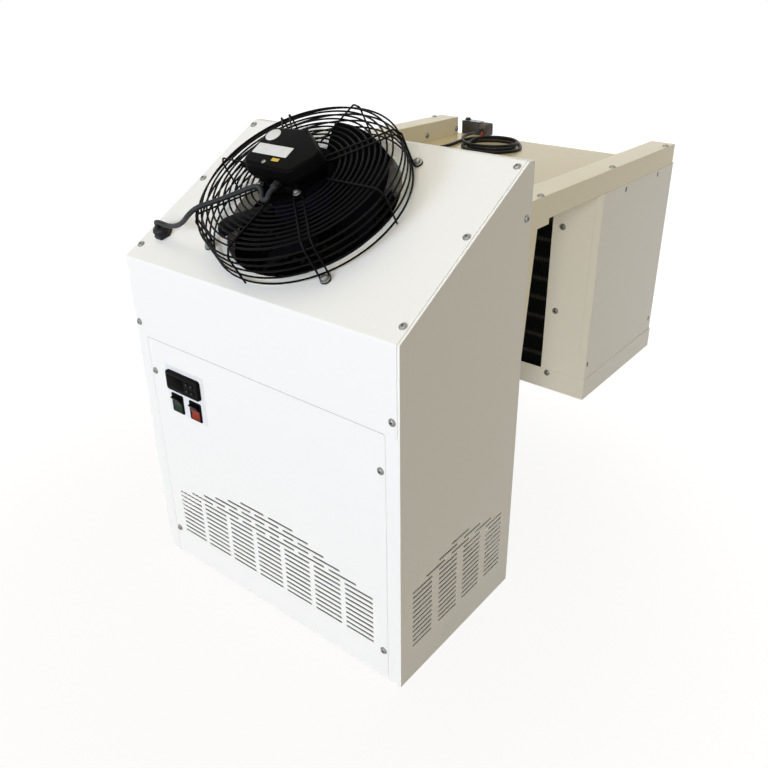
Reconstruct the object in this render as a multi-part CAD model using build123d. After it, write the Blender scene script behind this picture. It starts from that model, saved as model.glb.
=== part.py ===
from build123d import *
import os
from math import atan2, cos, degrees, hypot, pi, radians, sin, tan

# A monoblock freezer unit that straddles the top edge of a cold-room wall: a condensing
# housing outside, two rails and a deck over the wall, and an evaporator box inside.
# Origin: middle of the housing's base. +X right, +Y towards the cold room, +Z up.
# All sizes are in millimetres.

# Sheet metal
sheet = 1.2
clearance = 0.3
bend_radius = 2.4
flange = 22.0
small_flange = 12.0

# Condensing housing
housing_width = 500.0
housing_depth = 275.0
bend_height = 519.0
housing_height = 675.0
top_flat = 14.0
base_lip = 30.0
cover_inset = 3.5
cover_skirt = 120.0
front_cover_floor_gap = 3.0
front_cover_gap = 1.0
rear_flange = 15.0

# Fans: guard, motor, blades and the pressed opening they blow through
fan_offset_x = -7.5
fan_slope_place = 161.0
blade_tip_radius = 124.0
tip_clearance = 3.0
blade_count = 5
blade_thickness = 1.6
blade_chord = 116.0
blade_camber = 9.0
blade_pitch = 24.0
blade_lean = 12.0
blade_root_angles = (-26.0, 22.0)
blade_tip_angles = (-14.0, 32.0)
blade_from_rotor_end = 23.0
hub_radius = 46.0
rotor_sides = 24
rotor_length = 58.0
rotor_end_wall = 5.0
rotor_edge_chamfer = 4.0
collar_depth = 22.0
shaft_radius = 6.0
running_clearance = 0.05
motor_gap = 1.5
motor_flange_radius = 54.0
motor_flange_sides = 12
motor_flange_thickness = 5.5

# Wire guard
wire = 2.6
ring_sides = 16
guard_side_radius = 143.7
guard_inner_radius = 62.0
guard_side_ring_pitch = 9.8
guard_shoulder = 8.0
arm_wire_spacing = 12.0
arm_inner_radius = 44.0
strut_inner_radius = 58.0
foot_radius = 152.0
foot_turns = 6
condenser_guard_height = 59.0
condenser_ring_pitch = 8.0
evaporator_guard_height = 17.0
evaporator_ring_pitch = 16.0

# Terminal box on the condenser fan's motor
terminal_neck_radius = 40.0
terminal_neck_height = 7.0
terminal_base_height = 13.0
terminal_lid_height = 16.0
terminal_corners = ((-56.0, -31.0), (-56.0, 43.0), (19.0, 49.0), (67.0, 15.0), (37.0, -36.0))
terminal_corner_cut = 7.0
terminal_lid_taper = 3.0
terminal_lid_chamfer = 3.0
terminal_seam = 1.0

# Grille slots
slot_height = 3.2
slot_row_pitch = 8.5
slot_first_row = 55.0
front_slot_length = 50.0
front_slot_pitch = 59.0
front_slot_columns = 7
front_slot_rows = 10
front_slot_steps = 5
side_slot_length = 44.5
side_slot_pitch = 59.2
side_slot_columns = 4
side_slot_rows = 12
side_slot_steps = 3
side_slot_start = 26.5

# Controls on the front cover
controller_from_side = 97.0
controller_from_top = 56.5
controller_width = 74.0
controller_height = 32.0
controller_bezel_depth = 5.0
controller_body_width = 71.0
controller_body_height = 29.0
controller_body_depth = 55.0
controller_corner_radius = 5.0
controller_edge_chamfer = 1.2
pocket_play = 0.2
window_width = 37.0
window_height = 19.0
window_depth = 1.0
window_offset = -13.5
button_width = 8.0
button_height = 6.0
button_depth = 3.2
button_proud = 0.8
button_travel = 0.8
button_pitch_x = 11.0
button_pitch_z = 11.0
button_offset = 17.5
button_gap = 0.15
switches_from_side = (77.0, 117.7)
switches_from_top = 94.5
switch_bezel_width = 26.0
switch_bezel_height = 31.0
switch_bezel_depth = 2.0
switch_body_width = 21.6
switch_body_height = 28.4
switch_body_depth = 16.0
switch_back_wall = 2.0
switch_well_room = 1.2
switch_corner_radius = 1.5
rocker_width = 18.6
rocker_gap = 0.4
rocker_half_height = 12.0
rocker_rise = 5.0
rocker_dish = 2.8
rocker_back = 3.0
rocker_tilt = 12.0
rocker_pin_radius = 1.5
rocker_pin_reach = 0.8
rocker_pin_play = 0.1
control_plate_thickness = 0.4
control_plate_from_side = (55.5, 142.0)
control_plate_from_top = (112.0, 33.0)

# Bridge over the wall
wall_gap = 226.0
rail_width = 43.0
rail_height = 33.0
rail_top = 623.0
rail_setback = 9.0
deck_upstand = 18.0
bracket_reach = 50.0
bracket_drop = 7.0
bracket_width = 19.0
bracket_height = 188.0

# Evaporator box
evaporator_depth = 279.0
tray_floor = 234.0
tray_height = 37.0
front_strip_width = 82.0
coil_side_room = 58.0
coil_depth = 96.0
coil_set_back = 5.0
coil_foot_gap = 6.0
coil_head_gap = 6.0
coil_end_thickness = 20.0
fin_pitch = 6.4
fin_thickness = 0.5
tube_radius = 4.8
tube_pitch = 33.3
tube_columns = 2
heater_radius = 4.0
heater_gap = 0.3
heater_side_room = 42.0
heater_height = 160.0
heater_bend = 24.0
evaporator_fan_z = 430.0
drain_radius = 9.0
drain_wall = 2.0
drain_length = 42.0
drain_neck_radius = 11.0
drain_neck_length = 4.0
drain_flange_radius = 16.0
drain_flange_sides = 6
drain_flange_thickness = 3.0
drain_x = -150.0
drain_from_rear = 70.0

# Condensing set inside the housing
condenser_side_room = 60.0
condenser_height = 196.0
condenser_off_middle = 2.0
condenser_depth = 40.0
condenser_drop = 36.0
condenser_fin_pitch = 15.0
condenser_end_thickness = 1.5
condenser_pipe_spread = 70.0
compressor_x = 80.0
compressor_y = 10.0
compressor_radius = 78.0
compressor_sides = 24
compressor_height = 190.0
compressor_dome = 38.0
compressor_crown = 14.0
compressor_foot_length = 210.0
compressor_foot_width = 130.0
compressor_foot_thickness = 4.0
grommet_radius = 13.0
grommet_sides = 8
grommet_height = 16.0
stud_radius = 4.0
stud_length = 34.0
stud_head_radius = 8.0
stud_head_height = 6.0
terminal_cover_width = 60.0
terminal_cover_height = 70.0
terminal_cover_depth = 30.0
terminal_cover_lift = 14.0
drier_radius = 16.0
drier_sides = 12
drier_neck = 14.0
drier_saddle_width = 24.0
drier_x = -120.0
drier_pipe_run = 25.0
drier_rear_run = 17.0
drier_z = 60.0

# Refrigerant pipes
pipe_sides = 6
pipe_bend = 14.0
pipe_hole_clearance = 2.0
suction_pipe_radius = 6.0
liquid_pipe_radius = 4.0
suction_stub_x = 110.0
discharge_stub_x = 50.0
suction_stub_rise = 34.0
discharge_stub_rise = 25.0
suction_upright_from_rear = 37.5
liquid_upright_from_rear = 25.5
condenser_upright_from_side = 35.0
evaporator_pipe_z = 540.0

# Fasteners and glands
screw_head_radius = 5.4
screw_head_height = 2.6
screw_sides = 6
slope_screw_inset = 11.0
slope_screw_first = 24.5
slope_screw_last = 12.0
slope_screw_middle = 166.3
skirt_screw_inset = 10.5
skirt_screw_rise = 20.5
cover_screw_inset = 30.0
cover_screw_low = 50.0
cover_screw_drop = 54.0
side_screw_inset = 12.2
side_screw_drop = 72.2
rail_screw_inset = 5.0
rail_screw_from_housing = 31.0
rail_screw_from_evaporator = 26.0
rail_screw_from_end = 40.0
rail_side_screw_rise = 10.0
rail_side_screws_from_end = (115.5, 14.7)
strip_screw_inset = 66.0
strip_screws_below_deck = (207.8, 63.8)
tray_screw_inset = 71.0
tray_screw_drop = 7.0
wall_bolt_radius = 4.5
wall_bolt_inset = 40.0
wall_bolt_spacing_z = 360.0
wall_bolt_centre_z = 260.0
gland_nut_radius = 13.5
gland_nut_height = 6.0
gland_cap_radius = 12.0
gland_cap_chamfer = 3.0
gland_height = 16.0
gland_sides = 12
panel_gland_from_side = 36.0
panel_gland_s = 52.0
motor_gland_x = 7.0
motor_gland_radius = 6.2
motor_gland_length = 11.0
lead_gland_x = -120.0
lead_gland_z = 606.0

# Cables
cable_diameter = 7.0
cable_sides = 6
coil_centre_x = -80.0
coil_centre_y = 562.5
coil_outer_radius = 68.0
coil_inner_radius = 44.0
coil_height = 18.0
coil_sides = 24

# Cable box behind the evaporator's top left corner
cable_box_width = 54.0
cable_box_height = 24.0
cable_box_depth = 30.0
cable_box_x = -173.0
cable_box_top = 612.0
cable_box_corner = 3.0
cable_box_lead_x = -154.0
cable_box_lead_z = 600.0
box_bracket_x = -183.0
box_bracket_low = 560.0
box_bracket_top = 622.0
box_bracket_width = 40.0
box_bracket_reach = 22.0
box_bracket_slot_radius = 3.5
box_bracket_slot_length = 14.0

# Places that follow from the sizes above
half_width = housing_width / 2
front = -housing_depth / 2
rear = housing_depth / 2
slope_run = housing_depth - top_flat
slope_rise = housing_height - bend_height
slope_length = hypot(slope_run, slope_rise)
slope_angle = atan2(slope_rise, slope_run)
cover_half = half_width - cover_inset
front_cover_half = half_width - flange - front_cover_gap / 2
front_cover_top = bend_height - cover_skirt - front_cover_gap
opening_radius = blade_tip_radius + tip_clearance
controller_centre_x = controller_from_side - half_width
controller_centre_z = front_cover_top - controller_from_top
switch_centres_x = [place - half_width for place in switches_from_side]
switch_centre_z = front_cover_top - switches_from_top
control_plate_x = [place - half_width for place in control_plate_from_side]
control_plate_z = [front_cover_top - place for place in control_plate_from_top]
inner_half = half_width - sheet - clearance
evaporator_front = rear + wall_gap
evaporator_rear = evaporator_front + evaporator_depth
rail_bottom = rail_top - rail_height
deck_top = rail_bottom
deck_bottom = deck_top - sheet
tray_top = tray_floor + tray_height
evaporator_half = inner_half
cable_radius = cable_diameter / 2
coil_width = housing_width - 2 * coil_side_room
heater_span = coil_width - 2 * heater_side_room
condenser_width = housing_width - 2 * condenser_side_room
condenser_upright_x = condenser_upright_from_side - half_width
panel_gland_x = panel_gland_from_side - half_width
condenser_slope_place = slope_length / 2 - condenser_off_middle
suction_upright_y = rear - suction_upright_from_rear
liquid_upright_y = rear - liquid_upright_from_rear


def slab(x, y, z):
    """A block between low and high values on each axis."""
    size = [high - low for low, high in (x, y, z)]
    middle = [(high + low) / 2 for low, high in (x, y, z)]
    return Pos(*middle) * Box(*size)


def front_plane(y):
    """A plane that faces the front at depth y, with X to the right and Z up."""
    return Plane(origin=(0, y, 0), x_dir=(1, 0, 0), z_dir=(0, -1, 0))


def slope_plane(x=0.0, s=0.0, n=0.0):
    """A plane on the slope: s runs up the slope from the bend and n stands off it."""
    y = front + s * cos(slope_angle) - n * sin(slope_angle)
    z = bend_height + s * sin(slope_angle) + n * cos(slope_angle)
    return Plane(origin=(x, y, z), x_dir=(1, 0, 0), z_dir=(0, -sin(slope_angle), cos(slope_angle)))


def ribbon(points, width):
    """A flat face of even width that follows an open line of points."""
    left, right = [], []
    for i, (x, y) in enumerate(points):
        before = points[max(i - 1, 0)]
        after = points[min(i + 1, len(points) - 1)]
        a = atan2(y - before[1], x - before[0]) if i > 0 else atan2(after[1] - y, after[0] - x)
        b = atan2(after[1] - y, after[0] - x) if i < len(points) - 1 else a
        middle, spread = (a + b) / 2, width / 2 / cos((b - a) / 2)
        left.append((x - spread * sin(middle), y + spread * cos(middle)))
        right.append((x + spread * sin(middle), y - spread * cos(middle)))
    return make_face(Polyline(*left, *reversed(right), close=True))


def folded_frame(width, height, depth, y):
    """The folded edge of a flat cover, seen from the front and running back from y."""
    edge = Rectangle(width, height) - Rectangle(width - 2 * sheet, height - 2 * sheet)
    return extrude(front_plane(y + depth) * edge, depth)


def slot_centres(columns, rows, steps, pitch):
    """Centres of a block of slots and the stepped rows above it, from the lower left slot."""
    block = [(c * pitch, r * slot_row_pitch) for r in range(rows) for c in range(columns)]
    stepped = [
        ((c + k / 2) * pitch, (rows - 1 + k) * slot_row_pitch)
        for k in range(1, steps + 1)
        for c in range(columns - k)
    ]
    return block + stepped


def upright_cylinder(radius, height):
    """A cylinder that stands on the local XY plane."""
    return Cylinder(radius, height, align=(Align.CENTER, Align.CENTER, Align.MIN))


def tube_along(points, radius, bends, sides=pipe_sides):
    """A bar with few flats along straight runs joined by tangent arcs."""
    path = FilletPolyline(*points, radius=bends)
    start = Plane(origin=path @ 0, z_dir=path % 0)
    return sweep(start * RegularPolygon(radius, sides), path)


def cord_along(name, points):
    """A cable along its route, with its bend radii and its volume against its length in print."""
    bends = cord_bends(points)
    cord = tube_along(points, cable_radius, bends, cable_sides)
    length = FilletPolyline(*points, radius=bends).length
    share = cord.volume / (RegularPolygon(cable_radius, cable_sides).area * length)
    print(name, "length", round(length), "radii", [round(r, 1) for r in bends], "volume", round(share, 4))
    return cord


def cord_bends(points):
    """The arc at each corner of a cord's route, as large as its two runs allow."""
    bends = []
    for before, corner, after in zip(points, points[1:], points[2:]):
        arriving, leaving = Vector(*corner) - Vector(*before), Vector(*after) - Vector(*corner)
        turn = radians(arriving.get_angle(leaving))
        bends.append(0.45 * min(arriving.length, leaving.length) / tan(turn / 2))
    return bends


def screw_head(plane):
    """A pan head that stands on a plane."""
    return plane * extrude(RegularPolygon(screw_head_radius, screw_sides), screw_head_height)


# Housing panels
def side_panel():
    """The right side sheet, its front and slope flanges and its grille slots."""
    outline = make_face(
        Polyline(
            (front, 0),
            (rear, 0),
            (rear, housing_height),
            (rear - top_flat, housing_height),
            (front, bend_height),
            close=True,
        )
    )
    first = front + side_slot_start + side_slot_length / 2
    slots = [
        Pos(first + u, slot_first_row + v) * Rectangle(side_slot_length, slot_height)
        for u, v in slot_centres(side_slot_columns, side_slot_rows, side_slot_steps, side_slot_pitch)
    ]
    skin = extrude(Plane.YZ.offset(half_width - sheet) * (outline - slots), sheet)
    lip_x = (half_width - flange, half_width - sheet)
    front_lip = slab(lip_x, (front, front + sheet), (0, bend_height))
    slope_lip = slope_plane() * slab(lip_x, (0, slope_length), (-sheet, 0))
    return skin + front_lip + slope_lip


def upper_cover():
    """The bent top sheet: front skirt, slope and fan opening."""
    rise = sheet * tan(pi / 4 - slope_angle / 2)
    skirt_end = bend_height - cover_skirt
    top_in = slope_plane(s=slope_length).origin
    top_out = slope_plane(s=slope_length, n=sheet).origin
    section = make_face(
        Polyline(
            (front, skirt_end),
            (front, bend_height),
            (top_in.Y, top_in.Z),
            (top_out.Y, top_out.Z),
            (front - sheet, bend_height + rise),
            (front - sheet, skirt_end),
            close=True,
        )
    )
    cover = extrude(Plane.YZ.offset(-cover_half) * section, 2 * cover_half)
    bend = cover.edges().filter_by(Axis.X).sort_by(Axis.Y)[:3].sort_by(Axis.Z)[-1]
    return with_fan_collar(fillet(bend, bend_radius), slope_plane(fan_offset_x, fan_slope_place, sheet))


def with_fan_collar(panel, outside):
    """A panel with its fan hole and the collar turned in round it; outside lies on its outer face."""
    depth = collar_depth + sheet
    hole = Pos(0, 0, -depth) * Cylinder(opening_radius, 2 * depth)
    collar = Pos(0, 0, -depth / 2) * (
        Cylinder(opening_radius + sheet, depth) - Cylinder(opening_radius, depth)
    )
    return panel - outside * hole + outside * collar


def control_openings(gap):
    """The controller's and the switches' cut-outs, with a gap round the bodies."""
    body = Pos(controller_centre_x, controller_centre_z) * Rectangle(
        controller_body_width + 2 * gap, controller_body_height + 2 * gap
    )
    switches = [
        Pos(x, switch_centre_z) * Rectangle(switch_body_width + 2 * gap, switch_body_height + 2 * gap)
        for x in switch_centres_x
    ]
    return [body, *switches]


def front_cover():
    """The lower front cover: grille, control cut-outs and folded edges."""
    width = 2 * front_cover_half
    height = front_cover_top - front_cover_floor_gap
    middle = front_cover_floor_gap + height / 2
    first = -(front_slot_columns - 1) / 2 * front_slot_pitch
    slots = [
        Pos(first + u, slot_first_row + v) * Rectangle(front_slot_length, slot_height)
        for u, v in slot_centres(front_slot_columns, front_slot_rows, front_slot_steps, front_slot_pitch)
    ]
    face = Pos(0, middle) * Rectangle(width, height) - slots - control_openings(clearance)
    skin = extrude(front_plane(front + sheet) * face, sheet)
    return skin + Pos(0, 0, middle) * folded_frame(width, height, small_flange, front)


def wall_bolt_places():
    """Centres of the four wall bolts, across and up."""
    return [
        (i * (half_width - wall_bolt_inset), wall_bolt_centre_z + k * wall_bolt_spacing_z / 2)
        for i in (-1, 1)
        for k in (-1, 1)
    ]


def rail_pipe_x():
    """How far from the middle the pipes run inside the rails."""
    return half_width - rail_width / 2


def rail_pipe_z():
    """The height at which the pipes run inside the rails."""
    return rail_bottom + rail_height / 2


def rear_panel():
    """The housing's back sheet with its folded top and sides."""
    pipes = [
        Pos(side * rail_pipe_x(), rail_pipe_z()) * Circle(suction_pipe_radius + pipe_hole_clearance)
        for side in (-1, 1)
    ]
    bolts = [Pos(x, z) * Circle(wall_bolt_radius) for x, z in wall_bolt_places()]
    face = Pos(0, housing_height / 2) * Rectangle(2 * inner_half, housing_height) - pipes - bolts
    skin = extrude(front_plane(rear) * face, sheet)
    top = slab(
        (-inner_half, inner_half), (rear - top_flat + sheet, rear), (housing_height - sheet, housing_height)
    )
    sides = [
        slab(
            sorted((side * inner_half, side * (inner_half - sheet))),
            (rear - rear_flange, rear),
            (base_lip, deck_bottom),
        )
        for side in (-1, 1)
    ]
    return skin + top + sides


def base_tray():
    """The open tray that the condensing set is bolted to."""
    depth_low, depth_high = front + small_flange + 2 * clearance, rear - sheet - clearance
    outer = slab((-inner_half, inner_half), (depth_low, depth_high), (0, base_lip))
    inner = slab(
        (-inner_half + sheet, inner_half - sheet), (depth_low + sheet, depth_high - sheet), (sheet, base_lip)
    )
    return outer - inner


def control_plate():
    """The thin plate that frames the controls."""
    width = control_plate_x[1] - control_plate_x[0]
    height = control_plate_z[1] - control_plate_z[0]
    face = Pos(sum(control_plate_x) / 2, sum(control_plate_z) / 2) * Rectangle(width, height)
    return extrude(front_plane(front) * (face - control_openings(clearance)), control_plate_thickness)


# Controller and switches
control_face = front - control_plate_thickness


def button_places():
    """Centres of the controller's four buttons, across and up."""
    return [
        (
            controller_centre_x + button_offset + i * button_pitch_x / 2,
            controller_centre_z + k * button_pitch_z / 2,
        )
        for k in (1, -1)
        for i in (-1, 1)
    ]


def controller_case():
    """The controller's body and its bezel, with recesses for the window and the buttons."""
    bezel_front = control_face - controller_bezel_depth
    centre = Pos(controller_centre_x, controller_centre_z)
    outline = centre * RectangleRounded(controller_width, controller_height, controller_corner_radius)
    bezel = extrude(front_plane(control_face) * outline, controller_bezel_depth)
    bezel = chamfer(bezel.faces().sort_by(Axis.Y)[0].edges(), controller_edge_chamfer)
    body_face = centre * Rectangle(controller_body_width, controller_body_height)
    body = extrude(front_plane(control_face + controller_body_depth) * body_face, controller_body_depth)
    window = front_plane(bezel_front + window_depth) * extrude(
        centre * Pos(window_offset, 0) * Rectangle(window_width, window_height), window_depth
    )
    pocket_depth = button_depth - button_proud + button_travel + pocket_play
    pockets = [
        front_plane(bezel_front + pocket_depth)
        * extrude(
            Pos(x, z) * Rectangle(button_width + 2 * button_gap, button_height + 2 * button_gap), pocket_depth
        )
        for x, z in button_places()
    ]
    return bezel + body - window - pockets


def controller_window():
    """The display's dark window, flush in the bezel."""
    outline = Pos(controller_centre_x + window_offset, controller_centre_z) * Rectangle(
        window_width - 2 * button_gap, window_height - 2 * button_gap
    )
    return extrude(front_plane(control_face - controller_bezel_depth + window_depth) * outline, window_depth)


def controller_button(x, z):
    """One push button, seated in its pocket and standing a little proud."""
    back = control_face - controller_bezel_depth + button_depth - button_proud
    return extrude(front_plane(back) * Pos(x, z) * Rectangle(button_width, button_height), button_depth)


def switch_frame(x):
    """A rocker switch's bezel and body, open at the front, with holes for the rocker's pins."""
    centre = Pos(x, switch_centre_z)
    bezel_outline = centre * RectangleRounded(switch_bezel_width, switch_bezel_height, switch_corner_radius)
    bezel = extrude(front_plane(control_face) * bezel_outline, switch_bezel_depth)
    body_outline = centre * Rectangle(switch_body_width, switch_body_height)
    body = extrude(front_plane(control_face + switch_body_depth) * body_outline, switch_body_depth)
    well_back = switch_body_depth - switch_back_wall
    well = extrude(
        front_plane(control_face + well_back)
        * centre
        * Rectangle(rocker_width + 2 * rocker_gap, 2 * (rocker_half_height + switch_well_room)),
        switch_bezel_depth + well_back,
    )
    pin_hole = Pos(x, control_face, switch_centre_z) * Rot(0, 90, 0) * Cylinder(
        rocker_pin_radius + running_clearance, rocker_pin_span() + 2 * rocker_pin_play
    )
    return bezel + body - well - pin_hole


def rocker_pin_span():
    """The length of a rocker's pin, from one side of its frame into the other."""
    return rocker_width + 2 * rocker_gap + 2 * rocker_pin_reach


def rocker(x):
    """The tilting paddle: its upper end stands out while the lower one is pressed in."""
    outline = make_face(
        Polyline(
            (-rocker_half_height, -rocker_rise),
            (0, -rocker_rise + rocker_dish),
            (rocker_half_height, -rocker_rise),
            (rocker_half_height, rocker_back),
            (0, rocker_back + rocker_dish),
            (-rocker_half_height, rocker_back),
            close=True,
        )
    )
    # Local x of this plane is up and local y runs back, so the paddle extrudes across.
    start = (x - rocker_width / 2, control_face, switch_centre_z)
    across = Plane(origin=start, x_dir=(0, 0, 1), z_dir=(-1, 0, 0))
    paddle = across * Pos(0, 0, -rocker_width) * extrude(outline, rocker_width)
    place = Pos(x, control_face, switch_centre_z) * Rot(0, 90, 0)
    pin = place * Cylinder(rocker_pin_radius, rocker_pin_span())
    pivot = Axis((x, control_face, switch_centre_z), (1, 0, 0))
    return (paddle + pin).rotate(pivot, rocker_tilt)


# Fans
def ring(radius, n):
    """One wire ring of a guard, with few flats to keep it light."""
    band = RegularPolygon(radius + wire / 2, ring_sides) - RegularPolygon(radius - wire / 2, ring_sides)
    return Pos(0, 0, n - wire / 2) * extrude(band, wire)


def guard_wire(points, angle, offset):
    """A square wire along radius and height points, turned to an angle round the axis."""
    upright = Plane(origin=(0, offset, 0), x_dir=(1, 0, 0), z_dir=(0, -1, 0))
    bar = upright * Pos(0, 0, -wire / 2) * extrude(ribbon(points, wire), wire)
    return Rot(0, 0, angle) * bar


def fan_guard(height, ring_pitch):
    """The wire basket: side rings, top rings, single struts and four double arms with feet."""
    outside = guard_side_radius + wire
    shoulder_z = max(height - wire - guard_shoulder, 2 * wire)
    side_count = int((shoulder_z - wire) / guard_side_ring_pitch)
    side_step = (shoulder_z - 2 * wire) / max(side_count, 1)
    side_rings = [ring(guard_side_radius, 2 * wire + i * side_step) for i in range(side_count + 1)]
    top_count = int((guard_side_radius - guard_shoulder - guard_inner_radius) / ring_pitch)
    top_rings = [ring(guard_inner_radius + i * ring_pitch, height - wire) for i in range(top_count + 1)]
    over = [(guard_side_radius - guard_shoulder + wire, height), (outside, shoulder_z)]
    strut = [(strut_inner_radius, height), *over, (outside, wire)]
    arm = [(arm_inner_radius, height), *over, (outside, wire / 2), (foot_radius, wire / 2)]
    struts = [guard_wire(strut, 90 * i, 0) for i in range(4)]
    arms = [
        guard_wire(arm, 45 + 90 * i, side * arm_wire_spacing / 2) for i in range(4) for side in (-1, 1)
    ]
    loop = [
        (
            foot_radius + arm_wire_spacing / 2 * sin(pi * i / foot_turns),
            -arm_wire_spacing / 2 * cos(pi * i / foot_turns),
        )
        for i in range(foot_turns + 1)
    ]
    feet = [Rot(0, 0, 45 + 90 * i) * extrude(ribbon(loop, wire), wire) for i in range(4)]
    return [*side_rings, *top_rings, *struts, *arms, *feet]


def motor_flange_low(height):
    """The underside of the motor's flange, for a guard of a given height."""
    return height - wire / 2 - motor_flange_thickness


def fan_motor(height):
    """The fixed half of the motor: flange under the guard's arms and the shaft."""
    low = motor_flange_low(height)
    plate = Pos(0, 0, low) * extrude(
        RegularPolygon(motor_flange_radius, motor_flange_sides), motor_flange_thickness
    )
    reach = motor_gap + rotor_length - rotor_end_wall - clearance
    return plate + Pos(0, 0, low - reach) * upright_cylinder(shaft_radius, reach)


def fan_rotor(height):
    """The turning can of the external-rotor motor, bored for the shaft."""
    end = motor_flange_low(height) - motor_gap - rotor_length
    can = extrude(RegularPolygon(hub_radius, rotor_sides), rotor_length)
    can = chamfer(can.faces().sort_by(Axis.Z)[0].edges(), rotor_edge_chamfer)
    bore = upright_cylinder(shaft_radius + running_clearance, rotor_length)
    return Pos(0, 0, end) * (can - Pos(0, 0, rotor_end_wall) * bore)


def polar(radius, angle):
    """A point at a radius and an angle in degrees."""
    return radius * cos(radians(angle)), radius * sin(radians(angle))


def blade_strip():
    """The rolled and pitched sheet that a blade is cut from."""
    half, skin = blade_chord / 2, blade_thickness / 2
    upper = ThreePointArc((-half, skin), (0, blade_camber + skin), (half, skin))
    lower = ThreePointArc((-half, -skin), (0, blade_camber - skin), (half, -skin))
    section = make_face([upper, lower, Line(upper @ 0, lower @ 0), Line(upper @ 1, lower @ 1)])
    x_dir = (0, cos(radians(blade_pitch)), sin(radians(blade_pitch)))
    place = Plane(origin=(0, blade_lean, 0), x_dir=x_dir, z_dir=(1, 0, 0))
    return place * extrude(section, 2 * blade_tip_radius)


def blade_outline():
    """A blade's sickle outline, seen along the shaft."""
    root_trail, root_lead = blade_root_angles
    tip_trail, tip_lead = blade_tip_angles
    middle = (hub_radius + blade_tip_radius) / 2
    lead = ThreePointArc(
        polar(hub_radius, root_lead), polar(middle, tip_lead), polar(blade_tip_radius, tip_lead)
    )
    tip = ThreePointArc(
        polar(blade_tip_radius, tip_lead),
        polar(blade_tip_radius, (tip_lead + tip_trail) / 2),
        polar(blade_tip_radius, tip_trail),
    )
    root = ThreePointArc(
        polar(hub_radius, root_trail),
        polar(hub_radius, (root_trail + root_lead) / 2),
        polar(hub_radius, root_lead),
    )
    return make_face([lead, tip, Line(tip @ 1, root @ 0), root])


def fan_blades(height):
    """The pressed blades, welded to the rotor along their roots."""
    end = motor_flange_low(height) - motor_gap - rotor_length
    cutter = Pos(0, 0, -rotor_length) * extrude(blade_outline(), 2 * rotor_length)
    blade = blade_strip() & cutter
    place = Pos(0, 0, end + blade_from_rotor_end)
    return [place * Rot(0, 0, 360 / blade_count * i) * blade for i in range(blade_count)]


def terminal_outline():
    """The motor's terminal box from above: one straight end and one that narrows."""
    face = make_face(Polyline(*terminal_corners, close=True))
    return chamfer(face.vertices(), terminal_corner_cut)


def terminal_floor(height):
    """The underside of the terminal box, over the motor's neck."""
    return height - wire / 2 + terminal_neck_height


def terminal_box(height):
    """The lower half of the terminal box on its neck, over the motor flange."""
    floor = terminal_floor(height)
    neck_low = floor - terminal_neck_height
    neck = Pos(0, 0, neck_low) * upright_cylinder(terminal_neck_radius, terminal_neck_height)
    return neck + Pos(0, 0, floor) * extrude(terminal_outline(), terminal_base_height)


def terminal_lid(height):
    """The tapered lid of the terminal box, set back a little at its seam."""
    taper = degrees(atan2(terminal_lid_taper, terminal_lid_height))
    lid = extrude(offset(terminal_outline(), -terminal_seam), terminal_lid_height, taper=taper)
    lid = chamfer(lid.faces().sort_by(Axis.Z)[-1].edges(), terminal_lid_chamfer)
    return Pos(0, 0, terminal_floor(height) + terminal_base_height) * lid


# Coils
def finned_coil(width, height, depth, pitch, rows, thickness):
    """Fins and tubes of a coil that faces the front, centred on the origin."""
    count = int(width / pitch)
    fins = [
        Pos((i - (count - 1) / 2) * pitch, 0, 0) * Box(fin_thickness, depth, height) for i in range(count)
    ]
    step = height / rows
    tube = Plane.YZ.offset(-width / 2) * extrude(RegularPolygon(tube_radius, pipe_sides), width)
    tubes = [
        Pos(0, (c + 0.5) * depth / tube_columns - depth / 2, (r + 0.5) * step - height / 2) * tube
        for r in range(rows)
        for c in range(tube_columns)
    ]
    ends = [Pos(side * (width + thickness) / 2, 0, 0) * Box(thickness, depth, height) for side in (-1, 1)]
    return fins, tubes, ends


# Bridge
def rail():
    """The right rail: an inverted channel, closed at its far end."""
    end = evaporator_rear - rail_setback
    x_low = half_width - rail_width
    outer = slab((x_low, half_width), (rear, end), (rail_bottom, rail_top))
    hollow = slab((x_low + sheet, half_width - sheet), (rear, end - sheet), (rail_bottom, rail_top - sheet))
    return outer - hollow


def pipe_drop_y():
    """Where the pipes leave the rails and drop into the evaporator box."""
    return evaporator_front + coil_set_back + coil_depth / 2


def bridge_deck():
    """The deck under the rails, turned up against the housing, and the sheet over the evaporator."""
    edge = half_width - sheet - clearance
    plate = slab((-edge, edge), (rear, evaporator_front), (deck_bottom, deck_top))
    far_plate = slab((-half_width, half_width), (evaporator_front, evaporator_rear), (deck_bottom, deck_top))
    inner = half_width - rail_width - clearance
    upstand = slab((-inner, inner), (rear, rear + sheet), (deck_top, deck_top + deck_upstand))
    notch = gland_nut_radius + sheet
    gland_notch = slab(
        (lead_gland_x - notch, lead_gland_x + notch),
        (rear, rear + sheet),
        (deck_top, deck_top + deck_upstand),
    )
    hole = Cylinder(suction_pipe_radius + pipe_hole_clearance, 4 * sheet)
    holes = [Pos(side * rail_pipe_x(), pipe_drop_y(), deck_top) * hole for side in (-1, 1)]
    return [plate + (upstand - gland_notch), far_plate - holes]


def rail_bracket():
    """The tapered bracket in the corner between the right rail and the housing, beside the deck's edge."""
    top = rail_bottom
    outline = make_face(
        Polyline(
            (rear, top),
            (rear + bracket_reach, top),
            (rear + bracket_reach, deck_bottom - bracket_drop),
            (rear + bracket_width, deck_bottom - bracket_drop),
            (rear, deck_bottom - bracket_height),
            close=True,
        )
    )
    return extrude(Plane.YZ.offset(half_width - sheet) * outline, sheet)


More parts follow.
